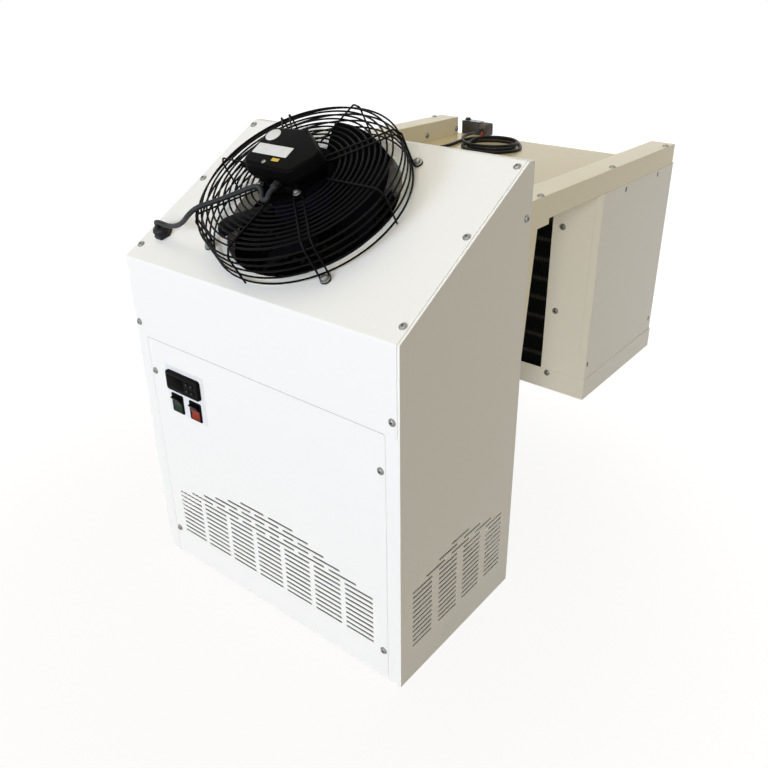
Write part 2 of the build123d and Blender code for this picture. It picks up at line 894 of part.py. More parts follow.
# Evaporator box
def evaporator_side():
    """The right side of the evaporator box with its front and rear flanges."""
    x_high = evaporator_half
    z = (tray_floor + sheet, deck_bottom)
    skin = slab((x_high - sheet, x_high), (evaporator_front, evaporator_rear - clearance), z)
    front_lip = slab((x_high - small_flange, x_high), (evaporator_front, evaporator_front + sheet), z)
    rear_lip = slab(
        (x_high - small_flange, x_high),
        (evaporator_rear - 2 * sheet - clearance, evaporator_rear - sheet - clearance),
        z,
    )
    return skin - rear_edge_relief(x_high, z) + front_lip + rear_lip


def rear_edge_relief(x_high, z):
    """The strip taken off the side's rear edge, where the rear panel covers it."""
    return slab((x_high - sheet, x_high), (evaporator_rear - sheet - clearance, evaporator_rear), z)


def evaporator_front_strip():
    """The right front strip that hides the coil's end."""
    x_high = evaporator_half - small_flange - clearance
    x = (x_high - front_strip_width + small_flange, x_high)
    z = (tray_floor + sheet + clearance, deck_bottom)
    face = slab(x, (evaporator_front, evaporator_front + sheet), z)
    edge_y = (evaporator_front, evaporator_front + coil_set_back - clearance)
    back_edge = slab((x[0], x[0] + sheet), edge_y, z)
    return face + back_edge


def evaporator_rear_panel():
    """The evaporator's back sheet with the fan collar turned in."""
    face = slab(
        (-evaporator_half, evaporator_half),
        (evaporator_rear - sheet, evaporator_rear),
        (tray_top, deck_bottom),
    )
    return with_fan_collar(face, evaporator_fan_plane())


def evaporator_fan_plane():
    """The plane of the evaporator's back sheet, facing into the cold room."""
    return Plane(origin=(0, evaporator_rear, evaporator_fan_z), x_dir=(1, 0, 0), z_dir=(0, 1, 0))


def drain_tray():
    """The tray under the evaporator, open at the top and holed for the drain."""
    x, y = half_width, (evaporator_front - sheet - clearance, evaporator_rear + sheet + clearance)
    outer = slab((-x, x), y, (tray_floor, tray_top))
    inner = slab((-x + sheet, x - sheet), (y[0] + sheet, y[1] - sheet), (tray_floor + sheet, tray_top))
    hole = Cylinder(drain_neck_radius + clearance, 4 * sheet)
    return outer - inner - Pos(drain_x, evaporator_rear - drain_from_rear, tray_floor) * hole


def drain_spigot():
    """The drain tube that a hose is pushed over, its neck through the tray and the hexagon inside."""
    rim = extrude(RegularPolygon(drain_flange_radius, drain_flange_sides), drain_flange_thickness)
    tube = Pos(0, 0, -drain_length) * upright_cylinder(drain_radius, drain_length)
    neck = Pos(0, 0, -drain_neck_length) * upright_cylinder(drain_neck_radius, drain_neck_length)
    bore = Pos(0, 0, -drain_length) * upright_cylinder(drain_radius - drain_wall, 2 * drain_length)
    return Pos(drain_x, evaporator_rear - drain_from_rear, tray_floor + sheet) * (rim + tube + neck - bore)


def evaporator_coil():
    """Fins, tubes and end plates of the evaporator's coil, in place."""
    low, high = tray_top + coil_foot_gap - tray_height + sheet, deck_bottom - coil_head_gap
    height = high - low
    rows = round(height / tube_pitch)
    place = Pos(0, evaporator_front + coil_set_back + coil_depth / 2, (low + high) / 2)
    fins, tubes, ends = finned_coil(coil_width, height, coil_depth, fin_pitch, rows, coil_end_thickness)
    feet = [
        slab(
            sorted((side * coil_width / 2, side * (coil_width / 2 + coil_end_thickness))),
            (evaporator_front + coil_set_back, evaporator_front + coil_set_back + coil_depth),
            (tray_floor + sheet, low),
        )
        for side in (-1, 1)
    ]
    plates = [place * end + foot for end, foot in zip(ends, feet)]
    return [place * f for f in fins], [place * t for t in tubes], plates


def defrost_heater():
    """The heater rod, bent to a U against the back of the coil."""
    y = evaporator_front + coil_set_back + coil_depth + heater_radius + heater_gap
    z = evaporator_fan_z - heater_height / 2
    half = heater_span / 2
    points = [(half, y, z), (-half, y, z), (-half, y, z + heater_height), (half, y, z + heater_height)]
    return tube_along(points, heater_radius, heater_bend)


# Condensing set
def condenser():
    """Fins, tubes and end plates of the condenser, hung under the slope."""
    rows = round(condenser_height / tube_pitch)
    depth_middle = -(condenser_drop + condenser_depth / 2)
    # The coil is made upright and laid back so that its face looks at the fan.
    place = slope_plane(fan_offset_x, condenser_slope_place, depth_middle) * Rot(90, 0, 0)
    fins, tubes, ends = finned_coil(
        condenser_width, condenser_height, condenser_depth, condenser_fin_pitch, rows, condenser_end_thickness
    )
    hanger_height = condenser_drop - clearance
    seat = slope_plane(fan_offset_x, condenser_slope_place, -condenser_drop + hanger_height / 2)
    edge = (condenser_width + condenser_end_thickness) / 2
    hangers = [
        seat * Pos(side * edge, 0, 0) * Box(condenser_end_thickness, condenser_height, hanger_height)
        for side in (-1, 1)
    ]
    plates = [place * end + hanger for end, hanger in zip(ends, hangers)]
    return [place * f for f in fins], [place * t for t in tubes], plates


def condenser_port(spread):
    """The place of a pipe's end on the condenser's left end plate, up or down the slope from its middle."""
    depth_middle = -(condenser_drop + condenser_depth / 2)
    x = fan_offset_x - condenser_width / 2 - condenser_end_thickness
    return slope_plane(x, condenser_slope_place + spread, depth_middle).origin


def foot_places():
    """Centres of the compressor's four rubber feet."""
    across = compressor_foot_length / 2 - grommet_radius - 3
    along = compressor_foot_width / 2 - grommet_radius - 3
    return [(compressor_x + i * across, compressor_y + k * along) for i in (-1, 1) for k in (-1, 1)]


foot_plate_z = sheet + grommet_height
stud_hole_radius = stud_radius + clearance


def compressor_top():
    """The height of the compressor's crown."""
    return foot_plate_z + compressor_foot_thickness + compressor_height


def compressor():
    """The hermetic shell, a drawn cup and dome, on its foot plate."""
    low = foot_plate_z + compressor_foot_thickness
    shell = extrude(RegularPolygon(compressor_radius, compressor_sides), compressor_height)
    rim = shell.faces().sort_by(Axis.Z)[-1]
    shell = chamfer(rim.edges(), compressor_crown, compressor_dome, reference=rim)
    plate = Pos(compressor_x, compressor_y, low - compressor_foot_thickness / 2) * Box(
        compressor_foot_length, compressor_foot_width, compressor_foot_thickness
    )
    hole = extrude(RegularPolygon(stud_hole_radius, grommet_sides), 2 * compressor_foot_thickness, both=True)
    holes = [Pos(x, y, low) * hole for x, y in foot_places()]
    return Pos(compressor_x, compressor_y, low) * shell + (plate - holes)


def compressor_grommets():
    """The four rubber feet between the base tray and the foot plate."""
    section = RegularPolygon(grommet_radius, grommet_sides) - RegularPolygon(stud_hole_radius, grommet_sides)
    return [Pos(x, y, sheet) * extrude(section, grommet_height) for x, y in foot_places()]


def compressor_bolts():
    """The four bolts through the feet."""
    length = grommet_height + compressor_foot_thickness
    shank = extrude(RegularPolygon(stud_radius, grommet_sides), length)
    head = Pos(0, 0, length) * extrude(RegularPolygon(stud_head_radius, 6), stud_head_height)
    return [Pos(x, y, sheet) * (shank + head) for x, y in foot_places()]


def compressor_terminal_cover():
    """The cover of the compressor's terminals, with its back hollowed to the shell."""
    shell_side = compressor_x - compressor_radius
    low = foot_plate_z + compressor_foot_thickness + terminal_cover_lift
    box = slab(
        (shell_side - terminal_cover_depth, shell_side + terminal_cover_width / 4),
        (compressor_y - terminal_cover_width / 2, compressor_y + terminal_cover_width / 2),
        (low, low + terminal_cover_height),
    )
    shell = extrude(RegularPolygon(compressor_radius + clearance, compressor_sides), compressor_top())
    return box - Pos(compressor_x, compressor_y, 0) * shell


def drier_span():
    """Where the drier starts and ends along Y, between the condenser's outlet and the liquid pipe."""
    outlet = condenser_port(-condenser_pipe_spread)
    return outlet.Y + drier_pipe_run, liquid_upright_y - drier_rear_run


def filter_drier():
    """The drier lying on its saddle: a capsule with tapered ends."""
    front_end, rear_end = drier_span()
    length = rear_end - front_end
    body = extrude(front_plane(length / 2) * RegularPolygon(drier_radius, drier_sides), length)
    for end in (body.faces().sort_by(Axis.Y)[0], body.faces().sort_by(Axis.Y)[-1]):
        body = chamfer(end.edges(), drier_neck, drier_radius - 2 * liquid_pipe_radius, reference=end)
    saddle_low = sheet - drier_z
    saddle = slab(
        (-drier_saddle_width / 2, drier_saddle_width / 2),
        (-drier_saddle_width / 2, drier_saddle_width / 2),
        (saddle_low, 0),
    )
    return Pos(drier_x, (front_end + rear_end) / 2, drier_z) * (body + saddle)


# Refrigerant pipes
def suction_pipe():
    """From the evaporator's outlet through the right rail to the compressor's crown."""
    x, z = rail_pipe_x(), rail_pipe_z()
    stub_z = compressor_top() + suction_stub_rise
    points = [
        (suction_stub_x, compressor_y, compressor_top()),
        (suction_stub_x, compressor_y, stub_z),
        (x, suction_upright_y, stub_z),
        (x, suction_upright_y, z),
        (x, pipe_drop_y(), z),
        (x, pipe_drop_y(), evaporator_pipe_z),
        (coil_width / 2 + coil_end_thickness, pipe_drop_y(), evaporator_pipe_z),
    ]
    return tube_along(points, suction_pipe_radius, pipe_bend)


def liquid_pipe():
    """From the drier up and through the left rail to the evaporator's inlet."""
    x, z = -rail_pipe_x(), rail_pipe_z()
    points = [
        (drier_x, drier_span()[1], drier_z),
        (drier_x, liquid_upright_y, drier_z),
        (x, liquid_upright_y, drier_z),
        (x, liquid_upright_y, z),
        (x, pipe_drop_y(), z),
        (x, pipe_drop_y(), evaporator_pipe_z),
        (-coil_width / 2 - coil_end_thickness, pipe_drop_y(), evaporator_pipe_z),
    ]
    return tube_along(points, liquid_pipe_radius, pipe_bend)


def condenser_pipes():
    """The discharge pipe into the condenser and the outlet pipe down to the drier."""
    inlet, outlet = condenser_port(condenser_pipe_spread), condenser_port(-condenser_pipe_spread)
    stub_z = compressor_top() + discharge_stub_rise
    discharge = [
        (discharge_stub_x, compressor_y, compressor_top()),
        (discharge_stub_x, compressor_y, stub_z),
        (condenser_upright_x, inlet.Y, stub_z),
        (condenser_upright_x, inlet.Y, inlet.Z),
        tuple(inlet),
    ]
    drain = [
        tuple(outlet),
        (condenser_upright_x, outlet.Y, outlet.Z),
        (condenser_upright_x, outlet.Y, drier_z),
        (drier_x, outlet.Y, drier_z),
        (drier_x, drier_span()[0], drier_z),
    ]
    return [tube_along(points, liquid_pipe_radius, pipe_bend) for points in (discharge, drain)]


# Screws
def panel_screws():
    """The heads of the screws that hold the sheets, where they show."""
    sides = (-1, 1)
    along_slope = (slope_screw_first, slope_screw_middle, slope_length - slope_screw_last)
    slope_x = half_width - slope_screw_inset
    on_slope = [slope_plane(i * slope_x, s, sheet) for i in sides for s in along_slope]
    skirt_x, skirt_z = half_width - skirt_screw_inset, bend_height - cover_skirt + skirt_screw_rise
    on_skirt = [front_plane(front - sheet) * Pos(i * skirt_x, skirt_z) for i in sides]
    on_cover = [
        front_plane(front) * Pos(i * (half_width - cover_screw_inset), z)
        for i in sides
        for z in (cover_screw_low, front_cover_top - cover_screw_drop)
    ]
    side_y, side_z = rear - side_screw_inset, housing_height - side_screw_drop
    on_sides = [
        Plane(origin=(i * half_width, side_y, side_z), x_dir=(0, 1, 0), z_dir=(i, 0, 0)) for i in sides
    ]
    rail_ys = (
        rear + rail_screw_from_housing,
        evaporator_front + rail_screw_from_evaporator,
        evaporator_rear - rail_screw_from_end,
    )
    rail_x = half_width - rail_screw_inset
    on_rails = [Plane(origin=(i * rail_x, y, rail_top)) for i in sides for y in rail_ys]
    inner_x, inner_z = half_width - rail_width, rail_bottom + rail_side_screw_rise
    in_rails = [
        Plane(origin=(i * inner_x, evaporator_rear - back, inner_z), x_dir=(0, 1, 0), z_dir=(-i, 0, 0))
        for i in sides
        for back in rail_side_screws_from_end
    ]
    on_strips = [
        front_plane(evaporator_front) * Pos(i * (half_width - strip_screw_inset), deck_bottom - drop)
        for i in sides
        for drop in strip_screws_below_deck
    ]
    tray_face = front_plane(evaporator_front - sheet - clearance)
    tray_z = tray_top - tray_screw_drop
    on_tray = [tray_face * Pos(i * (half_width - tray_screw_inset), tray_z) for i in sides]
    places = [*on_slope, *on_skirt, *on_cover, *on_sides, *on_rails, *in_rails, *on_strips, *on_tray]
    return [screw_head(place) for place in places]


# Cables, their glands and the box they end in
def fan_seat(rel_x=0.0, rel_s=0.0, n=0.0):
    """A plane on the slope, placed from the condenser fan's centre."""
    return slope_plane(fan_offset_x + rel_x, fan_slope_place + rel_s, n)


def gland_body():
    """A cable gland that stands on a panel: hexagon nut and tapered cap."""
    nut = extrude(RegularPolygon(gland_nut_radius, 6), gland_nut_height)
    cap = extrude(RegularPolygon(gland_cap_radius, gland_sides), gland_height)
    return nut + chamfer(cap.faces().sort_by(Axis.Z)[-1].edges(), gland_cap_chamfer)


def motor_gland_place():
    """The plane of the terminal box's lower wall where the motor's gland stands, facing down the slope."""
    (x_a, s_a), (x_b, s_b) = terminal_corners[0], terminal_corners[-1]
    wall_s = s_a + (s_b - s_a) * (motor_gland_x - x_a) / (x_b - x_a)
    n = sheet + terminal_floor(condenser_guard_height) + terminal_base_height / 2
    place = fan_seat(motor_gland_x, wall_s, n)
    down_slope = (0, -cos(slope_angle), -sin(slope_angle))
    return Plane(origin=place.origin, x_dir=(1, 0, 0), z_dir=down_slope)


def cable_glands():
    """The panel's, the motor's and the lead's gland."""
    panel = slope_plane(panel_gland_x, panel_gland_s, sheet) * gland_body()
    motor = motor_gland_place() * extrude(RegularPolygon(motor_gland_radius, gland_sides), motor_gland_length)
    motor = motor - fan_seat(0, 0, sheet) * terminal_box(condenser_guard_height)
    lead_plane = Plane(origin=(lead_gland_x, rear, lead_gland_z), x_dir=(1, 0, 0), z_dir=(0, 1, 0))
    return [panel, motor, lead_plane * gland_body()]


def fan_cable():
    """The cable from the panel's gland over the guard's lower left arm to the motor's gland."""
    gland_x, gland_s = panel_gland_x - fan_offset_x, panel_gland_s - fan_slope_place
    gland_n = sheet + gland_height
    motor_end = motor_gland_place().offset(motor_gland_length).origin
    motor_before = motor_gland_place().offset(motor_gland_length + cable_diameter).origin
    route = [
        (gland_x, gland_s, gland_n),
        (gland_x, gland_s, gland_n + 6.5),
        (-200.0, -109.5, 27.5),
        (-190.0, -110.0, 28.5),
        (-172.0, -111.0, 27.5),
        (-150.0, -111.0, 33.0),
        (-127.0, -109.0, 45.0),
        (-108.5, -106.0, 59.5),
        (-94.0, -96.0, 67.0),
        (-76.0, -80.5, 66.2),
        (-59.0, -64.5, 65.8),
        (-43.0, -49.0, 66.0),
        (-29.0, -41.0, 68.0),
        (-15.0, -46.0, 69.0),
        (-8.5, -54.5, 67.5),
        (-2.5, -61.5, 66.5),
        (motor_gland_x, -60.0, 68.0),
    ]
    points = [tuple(fan_seat(*place).origin) for place in route]
    return cord_along("fan_cable", [*points, tuple(motor_before), tuple(motor_end)])


def cable_coil():
    """The outer shape of the loose coil that lies on the deck."""
    section = RegularPolygon(coil_outer_radius, coil_sides) - RegularPolygon(coil_inner_radius, coil_sides)
    return Pos(coil_centre_x, coil_centre_y, deck_top) * extrude(section, coil_height)


def coil_side_x():
    """Where the lead's two ends run along the coil's left edge."""
    return coil_centre_x - coil_outer_radius + cable_radius


def cable_lead_start():
    """The lead from its gland along the deck to the coil."""
    low = deck_top + cable_radius
    gland_end = rear + gland_height
    points = [
        (lead_gland_x, gland_end, lead_gland_z),
        (lead_gland_x, gland_end + 26.0, lead_gland_z),
        (lead_gland_x - 1.0, gland_end + 66.0, low),
        (lead_gland_x - 8.0, gland_end + 128.0, low),
        (lead_gland_x - 22.0, gland_end + 200.0, low),
        (lead_gland_x - 32.0, gland_end + 272.0, low),
        (lead_gland_x - 31.0, gland_end + 334.0, low + 1.5),
        (coil_side_x() - 2.0, gland_end + 372.0, low + 4.0),
        (coil_side_x(), coil_centre_y - 18.0, low + 5.0),
    ]
    return cord_along("cable_lead_start", points)


def cable_lead_end():
    """The lead from the coil over the deck's far edge into its box."""
    box_face = evaporator_rear + sheet
    points = [
        (coil_side_x(), coil_centre_y + 18.0, deck_top + coil_height / 2),
        (coil_side_x() - 1.0, coil_centre_y + 38.0, deck_top + coil_height / 2),
        (coil_side_x() - 8.0, box_face - 26.0, deck_top + cable_radius + 5.0),
        (cable_box_lead_x, box_face - 14.0, cable_box_lead_z),
        (cable_box_lead_x, box_face, cable_box_lead_z),
    ]
    return cord_along("cable_lead_end", points)


def cable_box():
    """The small box where the lead ends, behind the evaporator's top left corner."""
    outline = Pos(cable_box_x, cable_box_top - cable_box_height / 2) * RectangleRounded(
        cable_box_width, cable_box_height, cable_box_corner
    )
    return extrude(front_plane(evaporator_rear + sheet + cable_box_depth) * outline, cable_box_depth)


def box_bracket():
    """The slotted angle that carries the cable box on the evaporator's back."""
    x = (box_bracket_x - box_bracket_width / 2, box_bracket_x + box_bracket_width / 2)
    leg = slab(x, (evaporator_rear, evaporator_rear + sheet), (box_bracket_low, box_bracket_top))
    arm = slab(
        x, (evaporator_rear, evaporator_rear + box_bracket_reach), (box_bracket_top - sheet, box_bracket_top)
    )
    slot_y = evaporator_rear + box_bracket_reach / 2
    slot = Pos(x[0] + box_bracket_slot_length, slot_y, box_bracket_top - sheet)
    cut = extrude(SlotOverall(box_bracket_slot_length, 2 * box_bracket_slot_radius), 2 * sheet, both=True)
    return leg + arm - slot * cut


def write(node, solids):
    """Writes one node, made of one solid or of several."""
    several = solids if isinstance(solids, list) else [solids]
    loose = [solid for shape in several for solid in shape.solids()]
    export_step(loose[0] if len(loose) == 1 else Compound(children=loose), f"parts/{node}.step")


if __name__ == "__main__":
    os.makedirs("parts", exist_ok=True)
    seat = fan_seat(0, 0, sheet)
    rear_seat = evaporator_fan_plane()
    right_side = side_panel()
    write("side_panel_right", right_side)
    write("side_panel_left", mirror(right_side, about=Plane.YZ))
    write("upper_cover", upper_cover())
    write("front_cover", front_cover())
    write("rear_panel", rear_panel())
    write("base_tray", base_tray())
    write("control_plate", control_plate())
    write("controller_case", controller_case())
    write("controller_window", controller_window())
    for number, (x, z) in enumerate(button_places(), start=1):
        write(f"controller_button_{number}", controller_button(x, z))
    for colour, x in zip(("green", "red"), switch_centres_x):
        write(f"{colour}_switch_frame", switch_frame(x))
        write(f"{colour}_rocker", rocker(x))
    fans = (
        ("fan", seat, condenser_guard_height, condenser_ring_pitch),
        ("evaporator", rear_seat, evaporator_guard_height, evaporator_ring_pitch),
    )
    for name, place, height, pitch in fans:
        write(f"{name}_guard", [place * piece for piece in fan_guard(height, pitch)])
        write(f"{name}_motor", place * fan_motor(height))
        write(f"{name}_rotor", place * fan_rotor(height))
        write(f"{name}_blades", [place * blade for blade in fan_blades(height)])
    write("terminal_box", seat * terminal_box(condenser_guard_height))
    write("terminal_lid", seat * terminal_lid(condenser_guard_height))
    fins, tubes, plates = condenser()
    write("condenser_fins", fins)
    write("condenser_tubes", tubes)
    write("condenser_end_plates", plates)
    fins, tubes, plates = evaporator_coil()
    write("evaporator_fins", fins)
    write("evaporator_tubes", tubes)
    write("evaporator_end_plates", plates)
    write("defrost_heater", defrost_heater())
    write("compressor", compressor())
    write("compressor_grommets", compressor_grommets())
    write("compressor_bolts", compressor_bolts())
    write("compressor_terminal_cover", compressor_terminal_cover())
    write("filter_drier", filter_drier())
    right_rail = rail()
    write("rail_right", right_rail)
    write("rail_left", mirror(right_rail, about=Plane.YZ))
    write("bridge_deck", bridge_deck())
    right_bracket = rail_bracket()
    write("rail_brackets", [right_bracket, mirror(right_bracket, about=Plane.YZ)])
    right_evaporator_side = evaporator_side()
    write("evaporator_side_right", right_evaporator_side)
    write("evaporator_side_left", mirror(right_evaporator_side, about=Plane.YZ))
    right_strip = evaporator_front_strip()
    write("evaporator_front_strips", [right_strip, mirror(right_strip, about=Plane.YZ)])
    write("evaporator_rear_panel", evaporator_rear_panel())
    write("drain_tray", drain_tray())
    write("drain_spigot", drain_spigot())
    write("suction_pipe", suction_pipe())
    write("liquid_pipe", liquid_pipe())
    write("condenser_pipes", condenser_pipes())
    write("panel_screws", panel_screws())
    write("cable_glands", cable_glands())
    write("fan_cable", fan_cable())
    write("cable_coil", cable_coil())
    write("cable_lead_start", cable_lead_start())
    write("cable_lead_end", cable_lead_end())
    write("cable_box", cable_box())
    write("box_bracket", box_bracket())
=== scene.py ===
"""Looks of a monoblock freezer unit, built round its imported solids.

The condensing housing stands outside a cold-room wall, its rails and deck cross
the wall, and the evaporator box hangs inside. Every size here is in millimetres
and is turned into metres where a mesh is made. +X is right, +Y points into the
cold room and +Z is up; the origin is the middle of the housing's base.
"""

import logging
import math
from dataclasses import dataclass, field
from enum import Enum
from typing import Callable, Iterable, Sequence

import bmesh
import bpy
from mathutils import Matrix, Vector
from mathutils.geometry import tessellate_polygon


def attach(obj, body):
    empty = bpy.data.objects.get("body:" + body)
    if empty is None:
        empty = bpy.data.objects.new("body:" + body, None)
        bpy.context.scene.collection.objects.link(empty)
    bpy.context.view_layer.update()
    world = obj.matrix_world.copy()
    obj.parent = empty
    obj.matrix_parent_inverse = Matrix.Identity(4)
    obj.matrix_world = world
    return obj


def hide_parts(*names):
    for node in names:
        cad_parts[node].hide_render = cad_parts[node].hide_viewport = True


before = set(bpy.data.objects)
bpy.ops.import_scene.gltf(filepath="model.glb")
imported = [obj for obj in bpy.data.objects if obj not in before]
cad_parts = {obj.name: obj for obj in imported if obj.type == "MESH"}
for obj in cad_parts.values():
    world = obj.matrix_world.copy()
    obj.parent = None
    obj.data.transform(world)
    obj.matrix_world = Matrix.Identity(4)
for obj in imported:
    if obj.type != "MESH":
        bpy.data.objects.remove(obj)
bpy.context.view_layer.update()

MM = 0.001
LOG = logging.getLogger("freezer_unit")

Point = tuple[float, float, float]
Flat = tuple[float, float]
Colour = tuple[int, int, int]
Tree = bpy.types.NodeTree
Socket = bpy.types.NodeSocket


class Body(str, Enum):
    """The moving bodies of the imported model."""

    ROOT = "root"
    CONDENSER_FAN = "condenser_fan"
    EVAPORATOR_FAN = "evaporator_fan"
    GREEN_ROCKER = "green_rocker"
    RED_ROCKER = "red_rocker"
    BUTTON_1 = "button_1"
    BUTTON_2 = "button_2"
    BUTTON_3 = "button_3"
    BUTTON_4 = "button_4"


class Grain(Enum):
    """The small relief that a finish carries."""

    PEEL = "orange peel of sprayed enamel"
    SATIN = "fine even texture of moulded plastic"
    CAST = "uneven skin of painted castings"
    BRUSHED = "drawn lines along one axis"
    SPANGLE = "zinc flowers"


# Sizes shared with the solids, in millimetres
FRONT = -137.5
REAR = 137.5
HALF_WIDTH = 250.0
BEND_Z = 519.0
HOUSING_TOP = 675.0
TOP_FLAT = 14.0
SHEET = 1.2
SLOPE = math.atan2(HOUSING_TOP - BEND_Z, REAR - FRONT - TOP_FLAT)
DECK_TOP = 590.0
RAIL_TOP = 623.0
EVAPORATOR_FRONT = 363.5
EVAPORATOR_REAR = 642.5
FAN_X = -7.5
FAN_S = 161.0

# Directions
RIGHT: Point = (1, 0, 0)
AHEAD: Point = (0, -1, 0)
BACK: Point = (0, 1, 0)
UP: Point = (0, 0, 1)


def shift(x: float, y: float, z: float) -> Matrix:
    """Gives a move by a distance along each axis."""
    return Matrix.Translation((x, y, z))


def spin(degrees: float, axis: str = "Z") -> Matrix:
    """Gives a turn about one axis."""
    return Matrix.Rotation(math.radians(degrees), 4, axis)


def slope_place(x: float, s: float, n: float = 0.0) -> Matrix:
    """Gives the place on the housing's slope whose Z stands off the sheet.

    Args:
        x: Distance to the right of the middle.
        s: Distance up the slope from the bend.
        n: Height off the slope's inner face.

    Returns:
        A matrix in millimetres.
    """
    cos_a, sin_a = math.cos(SLOPE), math.sin(SLOPE)
    y = FRONT + s * cos_a - n * sin_a
    z = BEND_Z + s * sin_a + n * cos_a
    return Matrix(((1, 0, 0, x), (0, cos_a, -sin_a, y), (0, sin_a, cos_a, z), (0, 0, 0, 1)))


def fan_place(rel_x: float = 0.0, rel_s: float = 0.0, n: float = 0.0) -> Matrix:
    """Gives a place on the slope measured from the condenser fan's centre."""
    return slope_place(FAN_X + rel_x, FAN_S + rel_s, n)


def facing(origin: Point, normal: Point, across: Point) -> Matrix:
    """Gives a place from its origin, its outward Z axis and its X axis.

    Args:
        origin: Where the place is.
        normal: The direction of its Z axis.
        across: The direction of its X axis.

    Returns:
        A matrix in millimetres.
    """
    z_axis = Vector(normal).normalized()
    x_axis = Vector(across).normalized()
    y_axis = z_axis.cross(x_axis)
    turn = Matrix((x_axis, y_axis, z_axis)).transposed().to_4x4()
    return Matrix.Translation(Vector(origin)) @ turn


# Mesh making
Part = tuple[list[Vector], list[list[int]]]
Level = tuple[float, Sequence[Flat]]


@dataclass
class Shape:
    """A mesh that is put together from parts, in millimetres.

    Attributes:
        points: The vertices so far.
        faces: The faces so far, with the number of the finish that each one takes.
    """

    points: list[Vector] = field(default_factory=list)
    faces: list[tuple[list[int], int]] = field(default_factory=list)

    def add(self, part: Part, place: Matrix | None = None, finish: int = 0) -> "Shape":
        """Adds one part.

        Args:
            part: Its points and faces.
            place: Where it goes, or None for its own coordinates.
            finish: Which of the piece's finishes it takes.

        Returns:
            The shape itself.
        """
        points, faces = part
        start = len(self.points)
        place = place or Matrix.Identity(4)
        self.points += [place @ Vector(p) for p in points]
        self.faces += [([start + i for i in face], finish) for face in faces]
        return self

    def piece(
        self,
        name: str,
        finishes: Sequence["Finish"],
        body: Body = Body.ROOT,
        slot: str | None = None,
        stands_for: Sequence[str] = (),
        sharp_degrees: float = 38.0,
    ) -> bpy.types.Object:
        """Makes the object, dresses it and lets it ride on its body.

        Args:
            name: The piece's name.
            finishes: The finishes that its faces take, by number.
            body: The body that it moves with.
            slot: The record's material slot, if it has one. It is not used.
            stands_for: The solids that it is shown in place of.
            sharp_degrees: The angle above which an edge stays sharp.

        Returns:
            The new object.
        """
        mesh = bpy.data.meshes.new(name)
        mesh.from_pydata([p * MM for p in self.points], [], [f for f, _ in self.faces])
        for polygon, (_, number) in zip(mesh.polygons, self.faces):
            polygon.material_index = number
            polygon.use_smooth = True
        worker = bmesh.new()
        worker.from_mesh(mesh)
        bmesh.ops.remove_doubles(worker, verts=worker.verts, dist=1e-6)
        bmesh.ops.recalc_face_normals(worker, faces=worker.faces)
        worker.to_mesh(mesh)
        worker.free()
        mesh.set_sharp_from_angle(angle=math.radians(sharp_degrees))
        for finish in finishes:
            mesh.materials.append(finish.material())
        return put_in_scene(bpy.data.objects.new(name, mesh), body, stands_for)


def put_in_scene(
    piece: bpy.types.Object, body: Body, stands_for: Sequence[str]
) -> bpy.types.Object:
    """Links a piece, lets it ride on its body and hides the solids that it stands for.

    Args:
        piece: The object.
        body: The body that it moves with.
        stands_for: The solids that it is shown in place of.

    Returns:
        The same object.
    """
    bpy.context.scene.collection.objects.link(piece)
    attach(piece, body.value)
    if stands_for:
        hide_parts(*stands_for)
    LOG.info("piece %s rides on %s", piece.name, body.value)
    return piece


def lifted(outline: Iterable[Flat], height: float) -> list[Vector]:
    """Puts the points of an outline at one height."""
    return [Vector((x, y, height)) for x, y in outline]


def circle(radius: float, sides: int) -> list[Flat]:
    """Gives a circle's points, counter-clockwise from its right."""
    angles = [2 * math.pi * i / sides for i in range(sides)]
    return [(radius * math.cos(a), radius * math.sin(a)) for a in angles]


def band_faces(rows: int, count: int, wrap: bool = False) -> list[list[int]]:
    """Joins rows of points, each closed on itself, with bands of faces.

    Args:
        rows: How many rows there are.
        count: How many points each row has.
        wrap: Whether the last row joins the first.

    Returns:
        The faces of every band.
    """
    faces = []
    for row in range(rows if wrap else rows - 1):
        low, high = row * count, (row + 1) % rows * count
        for i in range(count):
            j = (i + 1) % count
            faces.append([low + i, low + j, high + j, high + i])
    return faces


def end_faces(rows: int, count: int) -> list[list[int]]:
    """Gives the two faces that close the first and the last row of points."""
    return [list(range(count))[::-1], [(rows - 1) * count + i for i in range(count)]]


def stacked(levels: Sequence[Level]) -> Part:
    """Joins outlines of equal count that lie one above another.

    Args:
        levels: The height and the outline of each level, from the lowest up.

    Returns:
        Points and faces of the closed body.
    """
    rows, count = len(levels), len(levels[0][1])
    points = [p for height, outline in levels for p in lifted(outline, height)]
    return points, band_faces(rows, count) + end_faces(rows, count)


def looped(levels: Sequence[Level]) -> Part:
    """Joins outlines of equal count one after another, and the last to the first."""
    points = [p for height, outline in levels for p in lifted(outline, height)]
    return points, band_faces(len(levels), len(levels[0][1]), wrap=True)


def turned(profile: Sequence[Flat], sides: int) -> Part:
    """Turns a profile of radii and heights round the Z axis and closes its ends."""
    return stacked([(height, circle(radius, sides)) for radius, height in profile])


def ring_turned(profile: Sequence[Flat], sides: int) -> Part:
    """Turns a closed profile round the Z axis, as for a ring or a washer."""
    points = [Vector((r * x, r * y, z)) for x, y in circle(1.0, sides) for r, z in profile]
    return points, band_faces(sides, len(profile), wrap=True)


def wire_ring(radius: float, height: float, thickness: float, sides: int) -> Part:
    """Makes a wire ring from its radius and height at the wire's middle."""
    return ring_turned([(radius + x, height + y) for x, y in circle(thickness / 2, 8)], sides)


